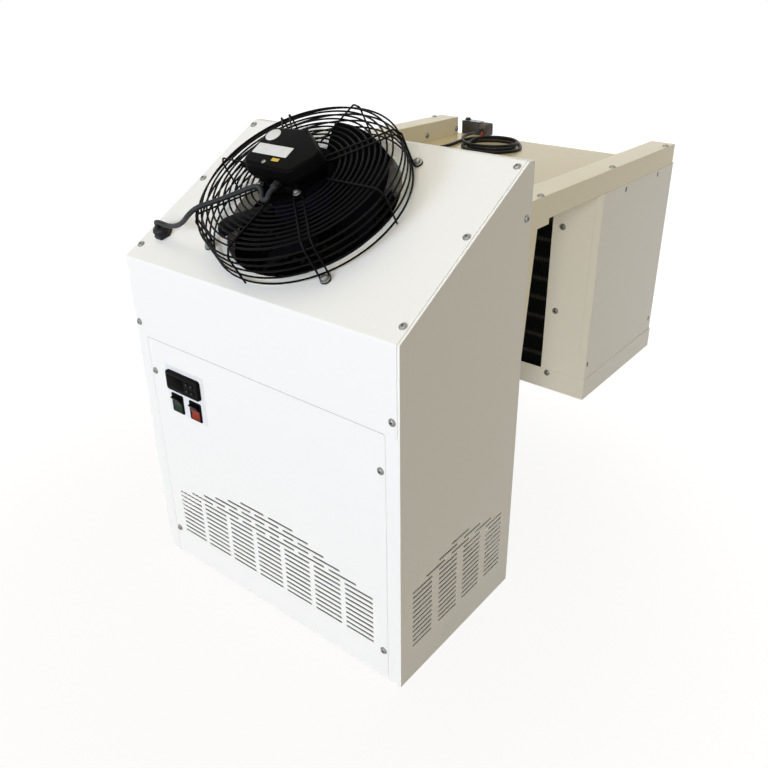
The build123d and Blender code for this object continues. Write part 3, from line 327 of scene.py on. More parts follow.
def pocketed(levels: Sequence[Level], pockets: Sequence[tuple[Sequence[Flat], float]]) -> Part:
    """Makes a stacked body whose top has pockets sunk into it.

    Args:
        levels: The height and the outline of each level, from the lowest up.
        pockets: The outline and the depth of each pocket.

    Returns:
        Points and faces of the closed body.
    """
    points, faces = stacked(levels)
    faces.pop()
    top, rim = levels[-1]
    loops = [lifted(rim, top)]
    numbers = list(range(len(points) - len(rim), len(points)))
    for outline, depth in pockets:
        first, count = len(points), len(outline)
        points += lifted(outline, top) + lifted(outline, top - depth)
        loops.append(lifted(outline, top))
        numbers += range(first, first + count)
        faces += [[first + i for i in face] for face in band_faces(2, count)]
        floor = tessellate_polygon([lifted(outline, 0)])
        faces += [[first + count + k for k in face] for face in floor]
    faces += [[numbers[k] for k in face] for face in tessellate_polygon(loops)]
    return points, faces


def rounded_outline(corners: Sequence[Flat], radius: float, steps: int = 5) -> list[Flat]:
    """Rounds the corners of an outline that turns one way.

    Args:
        corners: The outline's corners in order.
        radius: The radius of each corner.
        steps: How many steps each rounding takes.

    Returns:
        The points of the rounded outline.
    """
    outline: list[Flat] = []
    count = len(corners)
    for i, corner in enumerate(corners):
        here = Vector(corner)
        back = (Vector(corners[i - 1]) - here).normalized()
        ahead = (Vector(corners[(i + 1) % count]) - here).normalized()
        half = back.angle(ahead) / 2
        reach = radius / math.tan(half)
        middle = here + (back + ahead).normalized() * (radius / math.sin(half))
        start, end = here + back * reach - middle, here + ahead * reach - middle
        sweep = math.atan2(start.cross(end), start.dot(end))
        for k in range(steps + 1):
            turn = Matrix.Rotation(sweep * k / steps, 2)
            spot = middle + turn @ start
            outline.append((spot.x, spot.y))
    return outline


def inset_corners(corners: Sequence[Flat], inset: float) -> list[Flat]:
    """Moves each side of a clockwise or counter-clockwise outline inwards.

    Args:
        corners: The outline's corners in order.
        inset: How far each side moves in.

    Returns:
        The corners of the smaller outline.
    """
    count = len(corners)
    area = sum(Vector(corners[i - 1]).cross(Vector(corners[i])) for i in range(count))
    side = 1 if area > 0 else -1
    moved = []
    for i in range(count):
        a, b, c = (Vector(corners[(i + k) % count]) for k in (-1, 0, 1))
        first, second = (b - a).normalized(), (c - b).normalized()
        in_first, in_second = (Vector((-way.y, way.x)) * side for way in (first, second))
        mitre = (in_first + in_second) / (1 + in_first.dot(in_second))
        moved.append(tuple(b + mitre * inset))
    return moved


def rectangle(width: float, height: float, centre: Flat = (0.0, 0.0)) -> list[Flat]:
    """Gives the corners of a rectangle, counter-clockwise from the lowest."""
    (x, y), signs = centre, ((-1, -1), (1, -1), (1, 1), (-1, 1))
    return [(x + i * width / 2, y + k * height / 2) for i, k in signs]


def quarter(radius: float, steps: int) -> list[Flat]:
    """Gives a rounded edge's inset and drop at each step, from its wall to its face."""
    angles = [math.pi / 2 * k / steps for k in range(steps + 1)]
    return [(radius * (1 - math.cos(a)), radius * (1 - math.sin(a))) for a in angles]


def block(corners: Sequence[Flat], low: float, high: float, radius: float, edge: float) -> Part:
    """Makes a body with rounded corners and a softly rounded upper edge.

    Args:
        corners: The outline's corners.
        low: The height of its foot.
        high: The height of its top.
        radius: The radius of its upright corners.
        edge: The radius of its upper edge.

    Returns:
        Points and faces of the body.
    """
    levels = [(low, rounded_outline(corners, radius))]
    for inset, down in quarter(edge, 4):
        outline = rounded_outline(inset_corners(corners, inset), max(radius - inset, 0.2))
        levels.append((high - down, outline))
    return stacked(levels)


# Bends of a wire, in radians and as a share of the wire between two bends
STRAIGHT = 0.02
BEND_STEP = 0.35
BEND_SHARE = 0.48


def bent_wire(corners: Sequence[Point], bend: float) -> list[Vector]:
    """Gives the line of a stiff wire that is bent round a former at each corner.

    Args:
        corners: The line's corners.
        bend: The former's radius.

    Returns:
        Points along the wire.
    """
    spots = [Vector(corner) for corner in corners]
    line = spots[:1]
    for before, here, after in zip(spots, spots[1:], spots[2:]):
        back, ahead = before - here, after - here
        turn = math.pi - back.angle(ahead)
        if turn < STRAIGHT:
            line.append(here)
            continue
        room = BEND_SHARE * min(back.length, ahead.length)
        reach = min(bend * math.tan(turn / 2), room)
        start, end = here + back.normalized() * reach, here + ahead.normalized() * reach
        steps = max(2, round(turn / BEND_STEP))
        for k in range(steps + 1):
            t = k / steps
            line.append(start * (1 - t) ** 2 + here * 2 * t * (1 - t) + end * t * t)
    return [*line, spots[-1]]


def swept(line: Sequence[Vector], radius: float, sides: int = 8, closed: bool = False) -> Part:
    """Sweeps a round section along a line without twisting it.

    Args:
        line: The points that the middle follows.
        radius: The section's radius.
        sides: Steps round the section.
        closed: Whether the line ends where it starts.

    Returns:
        Points and faces of the bar.
    """
    count = len(line)
    points = []
    # A direction that no wire runs along
    up = Vector((0.13, 0.29, 0.95)).normalized()
    for i in range(count):
        before = line[i - 1] if closed or i else line[i]
        after = line[(i + 1) % count] if closed or i < count - 1 else line[i]
        along = (after - before).normalized()
        up = (up - along * up.dot(along)).normalized()
        across = along.cross(up)
        points += [line[i] + radius * (x * up + y * across) for x, y in circle(1.0, sides)]
    ends = [] if closed else end_faces(count, sides)
    return points, band_faces(count, sides, closed) + ends


# Finishes, and the numbers that all of them share
COAT_ROUGHNESS = 0.08
NOISE_ROUGHNESS = 0.55
COLOUR_SPAN: Flat = (0.35, 0.72)
DULL_SPAN: Flat = (0.3, 0.75)
HANDLED = 0.1
DUSTY = 0.13
DRAWN_STRETCH = 0.02
WHITE = (1.0, 1.0, 1.0, 1.0)


def linear(colour: Colour) -> tuple[float, float, float, float]:
    """Turns a screen colour into the linear values that a shader takes.

    Args:
        colour: Red, green and blue from 0 to 255.

    Returns:
        Linear red, green and blue, and a full alpha.
    """
    values = [c / 255 for c in colour]
    red, green, blue = (v / 12.92 if v <= 0.04045 else ((v + 0.055) / 1.055) ** 2.4 for v in values)
    return red, green, blue, 1.0


def set_inputs(node: bpy.types.Node, values: dict[str, object]) -> None:
    """Puts constants on a node's inputs, by their names."""
    for name, value in values.items():
        node.inputs[name].default_value = value


def add_node(
    tree: Tree,
    kind: str,
    values: dict[str, object] | None = None,
    links: dict[str | int, Socket] | None = None,
) -> bpy.types.Node:
    """Adds a node with constants on some inputs and links to others.

    Args:
        tree: The nodes to add to.
        kind: The node's type.
        values: The constants, by the inputs' names.
        links: The sockets that feed the other inputs.

    Returns:
        The new node.
    """
    node = tree.nodes.new(kind)
    set_inputs(node, values or {})
    for key, source in (links or {}).items():
        tree.links.new(source, node.inputs[key])
    return node


@dataclass(frozen=True)
class Finish:
    """One surface finish.

    Attributes:
        name: The finish's name.
        colour: Its middle colour, as seen on a screen.
        shade: The colour that its patches go towards.
        roughness: How dull it is, at its middle.
        metallic: 1 for bare metal.
        coat: How much clear gloss lies on it.
        shine: How strongly its surface reflects, 0.5 for most plastics and paints.
        grain: The relief it carries.
        grain_size: The size of that relief in millimetres.
        relief: How strong the relief is.
        patch_size: The size of its colour patches in millimetres.
        patchy: How far patches go towards the shade.
        line_axis: For drawn lines, the axis that they run along.
    """

    name: str
    colour: Colour
    shade: Colour
    roughness: float
    metallic: float = 0.0
    coat: float = 0.0
    shine: float = 0.5
    grain: Grain = Grain.SATIN
    grain_size: float = 1.0
    relief: float = 0.2
    patch_size: float = 60.0
    patchy: float = 0.6
    line_axis: int = 2

    def material(self) -> bpy.types.Material:
        """Gives the finish's material, made the first time it is asked for.

        Returns:
            The material.
        """
        name = f"{self.name}_finish"
        made = bpy.data.materials.get(name)
        if made:
            return made
        made = bpy.data.materials.new(name)
        made.use_nodes = True
        tree = made.node_tree
        shader = tree.nodes["Principled BSDF"]
        coat = {"Coat Weight": self.coat, "Coat Roughness": COAT_ROUGHNESS}
        set_inputs(shader, {"Metallic": self.metallic, "Specular IOR Level": self.shine, **coat})
        place = tree.nodes.new("ShaderNodeTexCoord").outputs["Object"]
        tree.links.new(self._colour_patches(tree, place), shader.inputs["Base Color"])
        tree.links.new(self._dull_patches(tree, place), shader.inputs["Roughness"])
        tree.links.new(self._relief(tree, place), shader.inputs["Normal"])
        return made

    def _noise(self, tree: Tree, place: Socket, size: float, detail: float) -> Socket:
        """Gives a noise whose features have a size in millimetres."""
        values = {"Scale": 1 / (size * MM), "Detail": detail, "Roughness": NOISE_ROUGHNESS}
        return add_node(tree, "ShaderNodeTexNoise", values, {"Vector": place}).outputs["Fac"]

    def _spread(self, tree: Tree, noise: Socket, span: Flat, target: Flat) -> Socket:
        """Stretches a span of a noise over a target range."""
        ends = {"From Min": span[0], "From Max": span[1], "To Min": target[0], "To Max": target[1]}
        return add_node(tree, "ShaderNodeMapRange", ends, {"Value": noise}).outputs["Result"]

    def _colour_patches(self, tree: Tree, place: Socket) -> Socket:
        """Mixes the colour and its shade in soft patches.

        Args:
            tree: The material's nodes.
            place: The coordinates of the patches.

        Returns:
            The socket with the mixed colour.
        """
        noise = self._noise(tree, place, self.patch_size, 5.0)
        mix = tree.nodes.new("ShaderNodeMix")
        mix.data_type = "RGBA"
        first, second = [s for s in mix.inputs if s.type == "RGBA"]
        first.default_value = linear(self.colour)
        second.default_value = linear(self.shade)
        share = self._spread(tree, noise, COLOUR_SPAN, (0.0, self.patchy))
        tree.links.new(share, mix.inputs[0])
        return next(s for s in mix.outputs if s.type == "RGBA")

    def _dull_patches(self, tree: Tree, place: Socket) -> Socket:
        """Varies the roughness as handling and dust do.

        Args:
            tree: The material's nodes.
            place: The coordinates of the patches.

        Returns:
            The socket with the roughness.
        """
        noise = self._noise(tree, place, 0.4 * self.patch_size, 6.0)
        handled = max(self.roughness - HANDLED * self.patchy, 0.03)
        dusty = min(self.roughness + DUSTY * self.patchy, 1.0)
        return self._spread(tree, noise, DULL_SPAN, (handled, dusty))

    def _relief(self, tree: Tree, place: Socket) -> Socket:
        """Adds the small relief of the finish's grain.

        Args:
            tree: The material's nodes.
            place: The coordinates of the relief.

        Returns:
            The socket with the normal.
        """
        if self.grain is Grain.SPANGLE:
            scale = {"Scale": 1 / (self.grain_size * MM)}
            flowers = add_node(tree, "ShaderNodeTexVoronoi", scale, {"Vector": place})
            height = flowers.outputs["Distance"]
        elif self.grain is Grain.BRUSHED:
            scale = [1.0, 1.0, 1.0]
            scale[self.line_axis] = DRAWN_STRETCH
            stretch = add_node(tree, "ShaderNodeMapping", {"Scale": scale}, {"Vector": place})
            height = self._noise(tree, stretch.outputs["Vector"], self.grain_size, 3.0)
        else:
            detail = {Grain.PEEL: 1.0, Grain.SATIN: 2.0, Grain.CAST: 6.0}[self.grain]
            height = self._noise(tree, place, self.grain_size, detail)
        values = {"Strength": self.relief, "Distance": 0.1 * self.grain_size * MM}
        return add_node(tree, "ShaderNodeBump", values, {"Height": height}).outputs["Normal"]


COVER_ENAMEL = Finish(
    "white_enamel", (246, 246, 245), (243, 243, 242), 0.34, coat=0.06, shine=0.22, grain=Grain.PEEL,
    grain_size=3.0, relief=0.03, patch_size=300, patchy=0.12,
)
RAIL_ENAMEL = Finish(
    "rail_enamel", (247, 241, 221), (243, 237, 216), 0.34, coat=0.06, shine=0.22, grain=Grain.PEEL,
    grain_size=3.0, relief=0.02, patch_size=200, patchy=0.15,
)
DECK_ENAMEL = Finish(
    "deck_enamel", (224, 210, 170), (220, 206, 166), 0.22, coat=0.1, shine=0.25, grain=Grain.PEEL,
    grain_size=3.0, relief=0.025, patch_size=150, patchy=0.35,
)
BASE_PAINT = Finish(
    "base_paint", (46, 47, 50), (34, 35, 38), 0.5, shine=0.2, grain=Grain.CAST, grain_size=2.0,
)
PLATE_ENAMEL = Finish(
    "control_plate_film", (236, 237, 240), (230, 231, 235), 0.4, grain_size=1.2, relief=0.08,
    patch_size=40,
)
WIRE_PAINT = Finish(
    "wire_paint", (7, 7, 8), (10, 10, 11), 0.42, shine=0.07, grain=Grain.CAST, grain_size=1.2,
    patch_size=14,
)
FAN_PAINT = Finish(
    "fan_paint", (7, 7, 9), (11, 11, 14), 0.5, shine=0.006, grain=Grain.CAST, grain_size=1.6,
    patch_size=30,
)
ROTOR_PAINT = Finish(
    "rotor_paint", (10, 11, 24), (15, 17, 56), 0.36, shine=0.08, grain=Grain.CAST, grain_size=1.4,
    patch_size=26,
)
BOX_PLASTIC = Finish(
    "terminal_plastic", (5, 5, 5), (8, 8, 7), 0.34, shine=0.025, grain_size=0.7, relief=0.25,
    patch_size=24,
)
CONTROL_PLASTIC = Finish(
    "control_plastic", (6, 6, 7), (10, 10, 11), 0.36, shine=0.04, grain_size=0.5, patch_size=16,
)
WINDOW = Finish(
    "display_window", (3, 3, 3), (5, 4, 4), 0.2, shine=0.012, grain_size=0.8, relief=0.02,
    patch_size=20,
)
BUTTON = Finish(
    "button_plastic", (8, 8, 9), (13, 13, 14), 0.46, shine=0.03, grain_size=0.5, relief=0.25,
    patch_size=6,
)
MARK = Finish(
    "button_mark", (92, 94, 97), (74, 76, 79), 0.55, shine=0.1, grain_size=0.4, relief=0.1,
    patch_size=3,
)
GREEN = Finish(
    "green_rocker", (9, 46, 26), (6, 28, 17), 0.34, shine=0.1, grain_size=0.6, relief=0.06,
    patch_size=9,
)
RED = Finish(
    "red_rocker", (150, 46, 20), (98, 26, 12), 0.34, shine=0.1, grain_size=0.6, relief=0.06,
    patch_size=9,
)
# The condenser's aluminium fins darkened as painted shade, for a coil that lies in shadow inside
# the housing
FINS_PAINTED_SHADE = Finish(
    "coil_fins_painted_shade", (22, 23, 25), (14, 15, 16), 0.55, metallic=0.25, shine=0.12, grain=Grain.BRUSHED,
    grain_size=0.5, patch_size=30,
)
# The coils' copper tubes darkened as painted shade, for tubes that lie in shadow inside the
# housings
TUBES_PAINTED_SHADE = Finish(
    "coil_tubes_painted_shade", (48, 37, 31), (30, 24, 21), 0.5, metallic=0.7, shine=0.2, grain=Grain.CAST,
    grain_size=1.5, relief=0.15, patch_size=12,
)
GALVANISED = Finish(
    "galvanised_steel", (178, 182, 184), (150, 154, 158), 0.42, metallic=0.9, grain=Grain.SPANGLE,
    grain_size=6.0, relief=0.12, patch_size=14,
)
COPPER = Finish(
    "copper_pipe", (178, 104, 72), (132, 78, 56), 0.3, metallic=1.0, grain=Grain.BRUSHED,
    grain_size=0.8, relief=0.12, patch_size=20,
)
ZINC = Finish(
    "zinc_screw", (150, 150, 146), (104, 105, 104), 0.42, metallic=0.9, grain=Grain.CAST,
    grain_size=0.6, patch_size=3,
)
# The screws' zinc darkened as painted shade inside their cross recesses
ZINC_PAINTED_SHADE = Finish(
    "screw_recess_painted_shade", (62, 63, 64), (40, 41, 42), 0.5, metallic=0.8, grain=Grain.CAST, grain_size=0.5,
    patch_size=2,
)
HEATER = Finish(
    "heater_steel", (116, 114, 108), (88, 84, 78), 0.36, metallic=1.0, grain=Grain.BRUSHED,
    grain_size=0.6, relief=0.15, patch_size=16,
)
GLAND = Finish(
    "gland_plastic", (28, 29, 31), (20, 21, 23), 0.42, shine=0.18, grain_size=0.5, patch_size=8,
)
CABLE = Finish(
    "cable_sheath", (34, 35, 38), (44, 46, 50), 0.46, shine=0.2, grain_size=0.8, relief=0.25,
    patch_size=12,
)
LEAD = Finish(
    "lead_sheath", (12, 11, 10), (19, 17, 15), 0.4, shine=0.15, grain_size=0.8, patch_size=16,
)
RUBBER = Finish(
    "foot_rubber", (26, 26, 27), (36, 36, 37), 0.75, grain=Grain.CAST, relief=0.3, patch_size=8,
)
COMPRESSOR_PAINT = Finish(
    "compressor_paint", (18, 18, 20), (27, 27, 29), 0.34, shine=0.25, grain=Grain.CAST,
    grain_size=2.0, relief=0.3, patch_size=40,
)
TAUPE = Finish(
    "cable_box_plastic", (84, 77, 67), (70, 64, 56), 0.5, shine=0.25, grain_size=0.7, relief=0.3,
    patch_size=12,
)
DRAIN = Finish(
    "drain_plastic", (206, 208, 208), (190, 193, 194), 0.45, grain_size=0.7, relief=0.15,
    patch_size=14,
)
LABEL = Finish("blank_label", (222, 223, 222), (206, 208, 208), 0.42, relief=0.06, patch_size=9)
YELLOW = Finish(
    "yellow_patch", (214, 186, 58), (196, 166, 44), 0.45, grain_size=0.8, relief=0.06, patch_size=6,
)
RED_TIE = Finish(
    "red_tie", (172, 44, 34), (140, 32, 26), 0.4, grain_size=0.5, relief=0.15, patch_size=5,
)
# The evaporator's aluminium fins darkened as painted shade, for a coil that lies in shadow
FIN_PACK_PAINTED_SHADE = Finish(
    "coil_fin_pack_painted_shade", (24, 25, 26), (34, 35, 36), 0.5, metallic=0.3, shine=0.2, grain=Grain.BRUSHED,
    grain_size=0.5, patch_size=30,
)
# The same fin aluminium made lighter at the tube rows as a painted highlight, still darkened by
# painted shade
FIN_COLLAR_PAINTED_HIGHLIGHT = Finish(
    "coil_fin_collars_painted_highlight", (66, 65, 59), (50, 49, 45), 0.5, metallic=0.3, shine=0.25,
    grain=Grain.BRUSHED, grain_size=0.5, patch_size=12,
)
# Galvanised steel darkened as painted shade, for the bracket's upright that faces away from the
# light
BRACKET_PAINTED_SHADE = Finish(
    "bracket_painted_shade", (58, 55, 49), (44, 42, 38), 0.5, metallic=0.3, grain=Grain.SPANGLE,
    grain_size=5.0, relief=0.1, patch_size=12,
)
# A dark patch of painted shade that stands for the inside of a hole
HOLE_PAINTED_SHADE = Finish(
    "hole_painted_shade", (24, 23, 21), (14, 14, 13), 0.8, grain=Grain.CAST, relief=0.1, patch_size=5,
)
# A dark strip that paints the shadow in the gap between two covers
SEAM_PAINTED_SHADE = Finish(
    "seam_painted_shade", (66, 66, 67), (52, 52, 53), 0.7, shine=0.15, grain=Grain.CAST, relief=0.1,
    patch_size=8,
)


# Camera, light and floor
@dataclass(frozen=True)
class Lamp:
    """One soft light from far away.

    Attributes:
        name: Its name.
        direction: Where it shines from.
        colour: Its colour.
        strength: Its strength.
        softness: The angle that it fills, in degrees.
        gleams: Whether glossy surfaces reflect it.
    """

    name: str
    direction: Point
    colour: Point
    strength: float
    softness: float
    gleams: bool = True

    def build(self) -> None:
        """Adds the light to the scene."""
        data = bpy.data.lights.new(self.name, "SUN")
        data.energy = self.strength
        data.angle = math.radians(self.softness)
        data.color = self.colour
        lamp = bpy.data.objects.new(self.name, data)
        lamp.visible_glossy = self.gleams
        lamp.rotation_mode = "QUATERNION"
        lamp.rotation_quaternion = Vector(self.direction).to_track_quat("Z", "Y")
        bpy.context.scene.collection.objects.link(lamp)


@dataclass
class Studio:
    """The camera at the photograph's viewing angle, soft light and a pale floor.

    Attributes:
        eye: The camera's place in metres.
        right: The picture's right-hand direction.
        down: The picture's downward direction.
        forward: The direction that the camera looks along.
        lens: The focal length in millimetres.
        sensor: The sensor's width in millimetres.
        shift: The picture's shift across and up.
        clip: The nearest and farthest distance drawn, in metres.
        floor_reach: Half the floor's width in metres.
        floor_colour: The floor's colour where it is shaded.
        floor_glow: The strength of the white that it fades into.
        floor_fade: Where that fading starts and ends, in metres.
        floor_white: How much white there is in the middle.
        world_strength: How brightly the surroundings shine.
        world_colour: The colour of their light.
        lamps: The soft lights.
    """

    eye: Point = (0.7328, -0.7444, 0.8814)
    right: Point = (0.79839, 0.60209, 0.00766)
    down: Point = (0.27025, -0.34693, -0.89811)
    forward: Point = (-0.53808, 0.71912, -0.43970)
    lens: float = 36.82
    sensor: float = 36.0
    shift: Flat = (-0.0475, -0.0304)
    clip: Flat = (0.05, 60.0)
    floor_reach: float = 14.0
    floor_colour: Point = (0.40, 0.35, 0.27)
    floor_glow: float = 1.15
    floor_fade: Flat = (0.3, 1.6)
    floor_white: float = 0.79
    world_strength: float = 0.16
    world_colour: Point = (1.0, 0.94, 0.83)
    lamps: tuple[Lamp, ...] = (
        Lamp("front_light", (-0.24, -0.965, 0.07), (0.66, 0.77, 1.0), 2.33, 26.0),
        Lamp("side_light", (0.43, -0.87, 0.24), (1.0, 0.95, 0.80), 1.3, 26.0),
        Lamp("top_light", (-0.2, -0.05, 0.98), (1.0, 0.925, 0.71), 0.91, 50.0),
        Lamp("back_light", (-0.46, 0.885, 0.05), (1.0, 0.98, 0.94), 1.5, 30.0, gleams=False),
    )

    def build(self) -> None:
        """Makes the camera, the lamps, the world and the floor."""
        self._camera()
        self._world()
        for lamp in self.lamps:
            lamp.build()
        self._floor()
        bpy.context.scene.view_settings.view_transform = "Standard"

    def _camera(self) -> None:
        """Sets the scene's camera where the photograph was taken from."""
        data = bpy.data.cameras.new("photograph_view")
        data.lens = self.lens
        data.sensor_width = self.sensor
        data.shift_x, data.shift_y = self.shift
        data.clip_start, data.clip_end = self.clip
        camera = bpy.data.objects.new("photograph_view", data)
        columns = (Vector(self.right), -Vector(self.down), -Vector(self.forward))
        turn = Matrix([c.normalized() for c in columns]).transposed().to_4x4()
        camera.matrix_world = Matrix.Translation(Vector(self.eye)) @ turn
        bpy.context.scene.collection.objects.link(camera)
        bpy.context.scene.camera = camera

    def _world(self) -> None:
        """Lights everything evenly and shows white behind the object."""
        world = bpy.data.worlds.new("studio")
        world.use_nodes = True
        tree = world.node_tree
        tree.nodes.clear()
        lit = {"Color": (*self.world_colour, 1.0), "Strength": self.world_strength}
        plain = {"Color": WHITE, "Strength": 1.0}
        fill, white = (add_node(tree, "ShaderNodeBackground", v) for v in (lit, plain))
        sources = (fill.outputs["Background"], white.outputs["Background"])
        mixed = self._mixed(tree, self._seen_directly(tree), *sources)
        add_node(tree, "ShaderNodeOutputWorld", links={"Surface": mixed})
        bpy.context.scene.world = world

    def _mixed(self, tree: Tree, share: Socket, first: Socket, second: Socket) -> Socket:
        """Mixes two shaders by the share of the second one."""
        links = {"Fac": share, 1: first, 2: second}
        return add_node(tree, "ShaderNodeMixShader", links=links).outputs["Shader"]

    def _seen_directly(self, tree: Tree) -> Socket:
        """Gives 1 for camera, glossy and transmission rays and 0 for the rest.

        Args:
            tree: The nodes to add to.

        Returns:
            The socket with that value.
        """
        rays = tree.nodes.new("ShaderNodeLightPath")
        total = rays.outputs["Is Camera Ray"]
        for name in ("Is Glossy Ray", "Is Transmission Ray"):
            add = add_node(tree, "ShaderNodeMath", links={0: total, 1: rays.outputs[name]})
            add.operation = "ADD"
            add.use_clamp = True
            total = add.outputs["Value"]
        return total

    def _floor_fade(self, tree: Tree) -> Socket:
        """Gives how white the floor is shown, by the distance from the middle.

        Args:
            tree: The floor's nodes.

        Returns:
            The socket with that share, 0 for rays that only carry light.
        """
        place = tree.nodes.new("ShaderNodeTexCoord").outputs["Object"]
        far = add_node(tree, "ShaderNodeVectorMath", links={0: place})
        far.operation = "LENGTH"
        near, gone = self.floor_fade
        ends = {"From Min": near, "From Max": gone, "To Min": self.floor_white}
        fade = add_node(tree, "ShaderNodeMapRange", ends, {"Value": far.outputs["Value"]})
        fade.interpolation_type = "SMOOTHSTEP"
        links = {0: self._seen_directly(tree), 1: fade.outputs["Result"]}
        seen = add_node(tree, "ShaderNodeMath", links=links)
        seen.operation = "MULTIPLY"
        return seen.outputs["Value"]

    def _floor(self) -> None:
        """Lays the pale floor, which fades into the white behind it."""
        made = bpy.data.materials.new("pale_floor")
        made.use_nodes = True
        tree = made.node_tree
        shader = tree.nodes["Principled BSDF"]
        set_inputs(shader, {"Base Color": (*self.floor_colour, 1.0), "Roughness": 0.9})
        white = {"Color": WHITE, "Strength": self.floor_glow}
        glow = add_node(tree, "ShaderNodeEmission", white).outputs["Emission"]
        mixed = self._mixed(tree, self._floor_fade(tree), shader.outputs["BSDF"], glow)
        tree.links.new(mixed, tree.nodes["Material Output"].inputs["Surface"])
        mesh = bpy.data.meshes.new("floor")
        width = 2 * self.floor_reach
        mesh.from_pydata(lifted(rectangle(width, width), 0), [], [(0, 1, 2, 3)])
        mesh.materials.append(made)
        floor = bpy.data.objects.new("floor", mesh)
        bpy.context.scene.collection.objects.link(floor)


# Cables
@dataclass
class Cables:
    """The fan's cable over the guard and the loose lead on the deck.

    Attributes:
        diameter: The fan cable's diameter.
        fan_route: The fan cable's points, from the fan's centre on the slope.
        fan_length: The fan cable's length in metres. It is not used.
        lead_diameter: The lead's diameter.
        lead_length: The lead's length in metres. It is not used.
        lead_in: The lead's points from its gland to the loose turns. Heights are
            over the middle of a lead that lies on the deck.
        coil_centre: The middle of the loose turns.
        turns: The loose turns: degrees round the middle, radius and height.
        lead_out: The lead's points from the turns into its box.
        tie_angle: Where the tie holds the turns.
        tie_radius: How far it stands from their middle.
    """

    diameter: float = 7.0
    fan_route: tuple[Point, ...] = (
        (-206.5, -109, 17.2), (-206.5, -109, 23.7), (-200, -109.5, 27.5), (-190, -110, 28.5),
        (-172, -111, 27.5), (-150, -111, 33), (-127, -109, 45), (-108.5, -106, 59.5),
        (-94, -96, 67), (-76, -80.5, 66.2), (-59, -64.5, 65.8), (-43, -49, 66), (-29, -41, 68),
        (-15, -46, 69), (-8.5, -54.5, 67.5), (-2.5, -61.5, 66.5), (7, -60, 68),
        (6.03, -52.36, 72.4), (6.41, -45.37, 72.4),
    )
    fan_length: float = 0.274
    lead_diameter: float = 5.6
    lead_length: float = 1.525
    lead_in: tuple[Point, ...] = (
        (-120, 153.5, 13.2), (-120, 179.5, 13.2), (-121, 219.5, 0), (-128, 281.5, 0),
        (-141, 353.5, 0), (-144, 425.5, 0), (-140, 487.5, 0), (-142, 525.5, 0), (-149, 556, 0),
    )
    coil_centre: Flat = (-80.0, 562.5)
    turns: tuple[Point, ...] = (
        (158, 73, 0), (132, 75, 0), (106, 75, 0), (80, 67, 0), (55, 56, 0),
        (30, 55, 0), (5, 62, 0), (-18, 71, 0), (-40, 77, 0), (-62, 77, 0),
        (-88, 72, 0), (-115, 64, 0), (-142, 56, 0), (-168, 49, 0), (166, 43, 0),
        (140, 40, 0), (112, 40, 0), (84, 42, 0), (55, 45, 0), (26, 46, 0),
        (-3, 50, 0), (-30, 55, 0.7), (-56, 57, 1.2), (-82, 56, 1.2), (-108, 52, 0.7),
        (-136, 47, 0.7), (-164, 44, 1.7), (168, 45, 4.7), (140, 46, 6.2), (110, 47, 6.2),
        (80, 48, 6.2), (50, 49, 6.2), (20, 51, 6.2), (-10, 55, 6.7), (-38, 59, 7.2),
        (-66, 60, 7.6), (-94, 58, 7.2), (-122, 55, 6.6), (-148, 56, 7.2), (-170, 60, 8.7),
    )
    lead_out: tuple[Point, ...] = (
        (-144.5, 574.5, 9.7), (-146.0, 594.5, 9.2), (-152.0, 614.7, 6.7), (-154, 629.7, 7.2),
        (-154, 643.7, 7.2),
    )
    tie_angle: float = 138.0
    tie_radius: float = 74.4

    def build(self) -> None:
        """Lays both cables."""
        fan_points = [fan_place(*p).translation for p in self.fan_route]
        fan = self._strand("fan_supply_cable", fan_points, self.diameter, CABLE, ["fan_cable"])
        lead_points = [self._on_deck(*p) for p in self.lead_in]
        lead_points += [self._turn_point(*t) for t in self.turns]
        lead_points += [self._on_deck(*p) for p in self.lead_out]
        coil_nodes = ["cable_coil", "cable_lead_start", "cable_lead_end"]
        lead = self._strand("spare_lead", lead_points, self.lead_diameter, LEAD, coil_nodes)
        tie = self._tie()

    def _on_deck(self, x: float, y: float, rise: float) -> Vector:
        """Gives a point over the middle of a lead that lies on the deck."""
        return Vector((x, y, DECK_TOP + self.lead_diameter / 2 + rise))

    def _turn_point(self, degrees: float, radius: float, rise: float) -> Vector:
        """Gives a point of the loose turns.

        Args:
            degrees: Its angle round the turns' middle.
            radius: Its distance from the middle.
            rise: Its height over a lead that lies on the deck.

        Returns:
            The point in millimetres.
        """
        angle = math.radians(degrees)
        x, y = self.coil_centre
        return self._on_deck(x + radius * math.cos(angle), y + radius * math.sin(angle), rise)

    def _strand(
        self, name: str, points: Sequence[Vector], diameter: float, finish: Finish, nodes: list[str]
    ) -> bpy.types.Object:
        """Makes one round cable on a smooth spline.

        Args:
            name: The piece's name.
            points: Its control points in millimetres.
            diameter: Its diameter.
            finish: Its finish.
            nodes: The solids that it stands for.

        Returns:
            The curve object.
        """
        curve = bpy.data.curves.new(name, "CURVE")
        curve.dimensions = "3D"
        spline = curve.splines.new("NURBS")
        spline.points.add(len(points) - 1)
        for spot, place in zip(spline.points, points):
            spot.co = (*(place * MM), 1.0)
        spline.order_u = 3
        spline.use_endpoint_u = True
        spline.resolution_u = 6
        curve.bevel_depth = diameter / 2 * MM
        curve.bevel_resolution = 4
        curve.use_fill_caps = True
        curve.materials.append(finish.material())
        return put_in_scene(bpy.data.objects.new(name, curve), Body.ROOT, nodes)

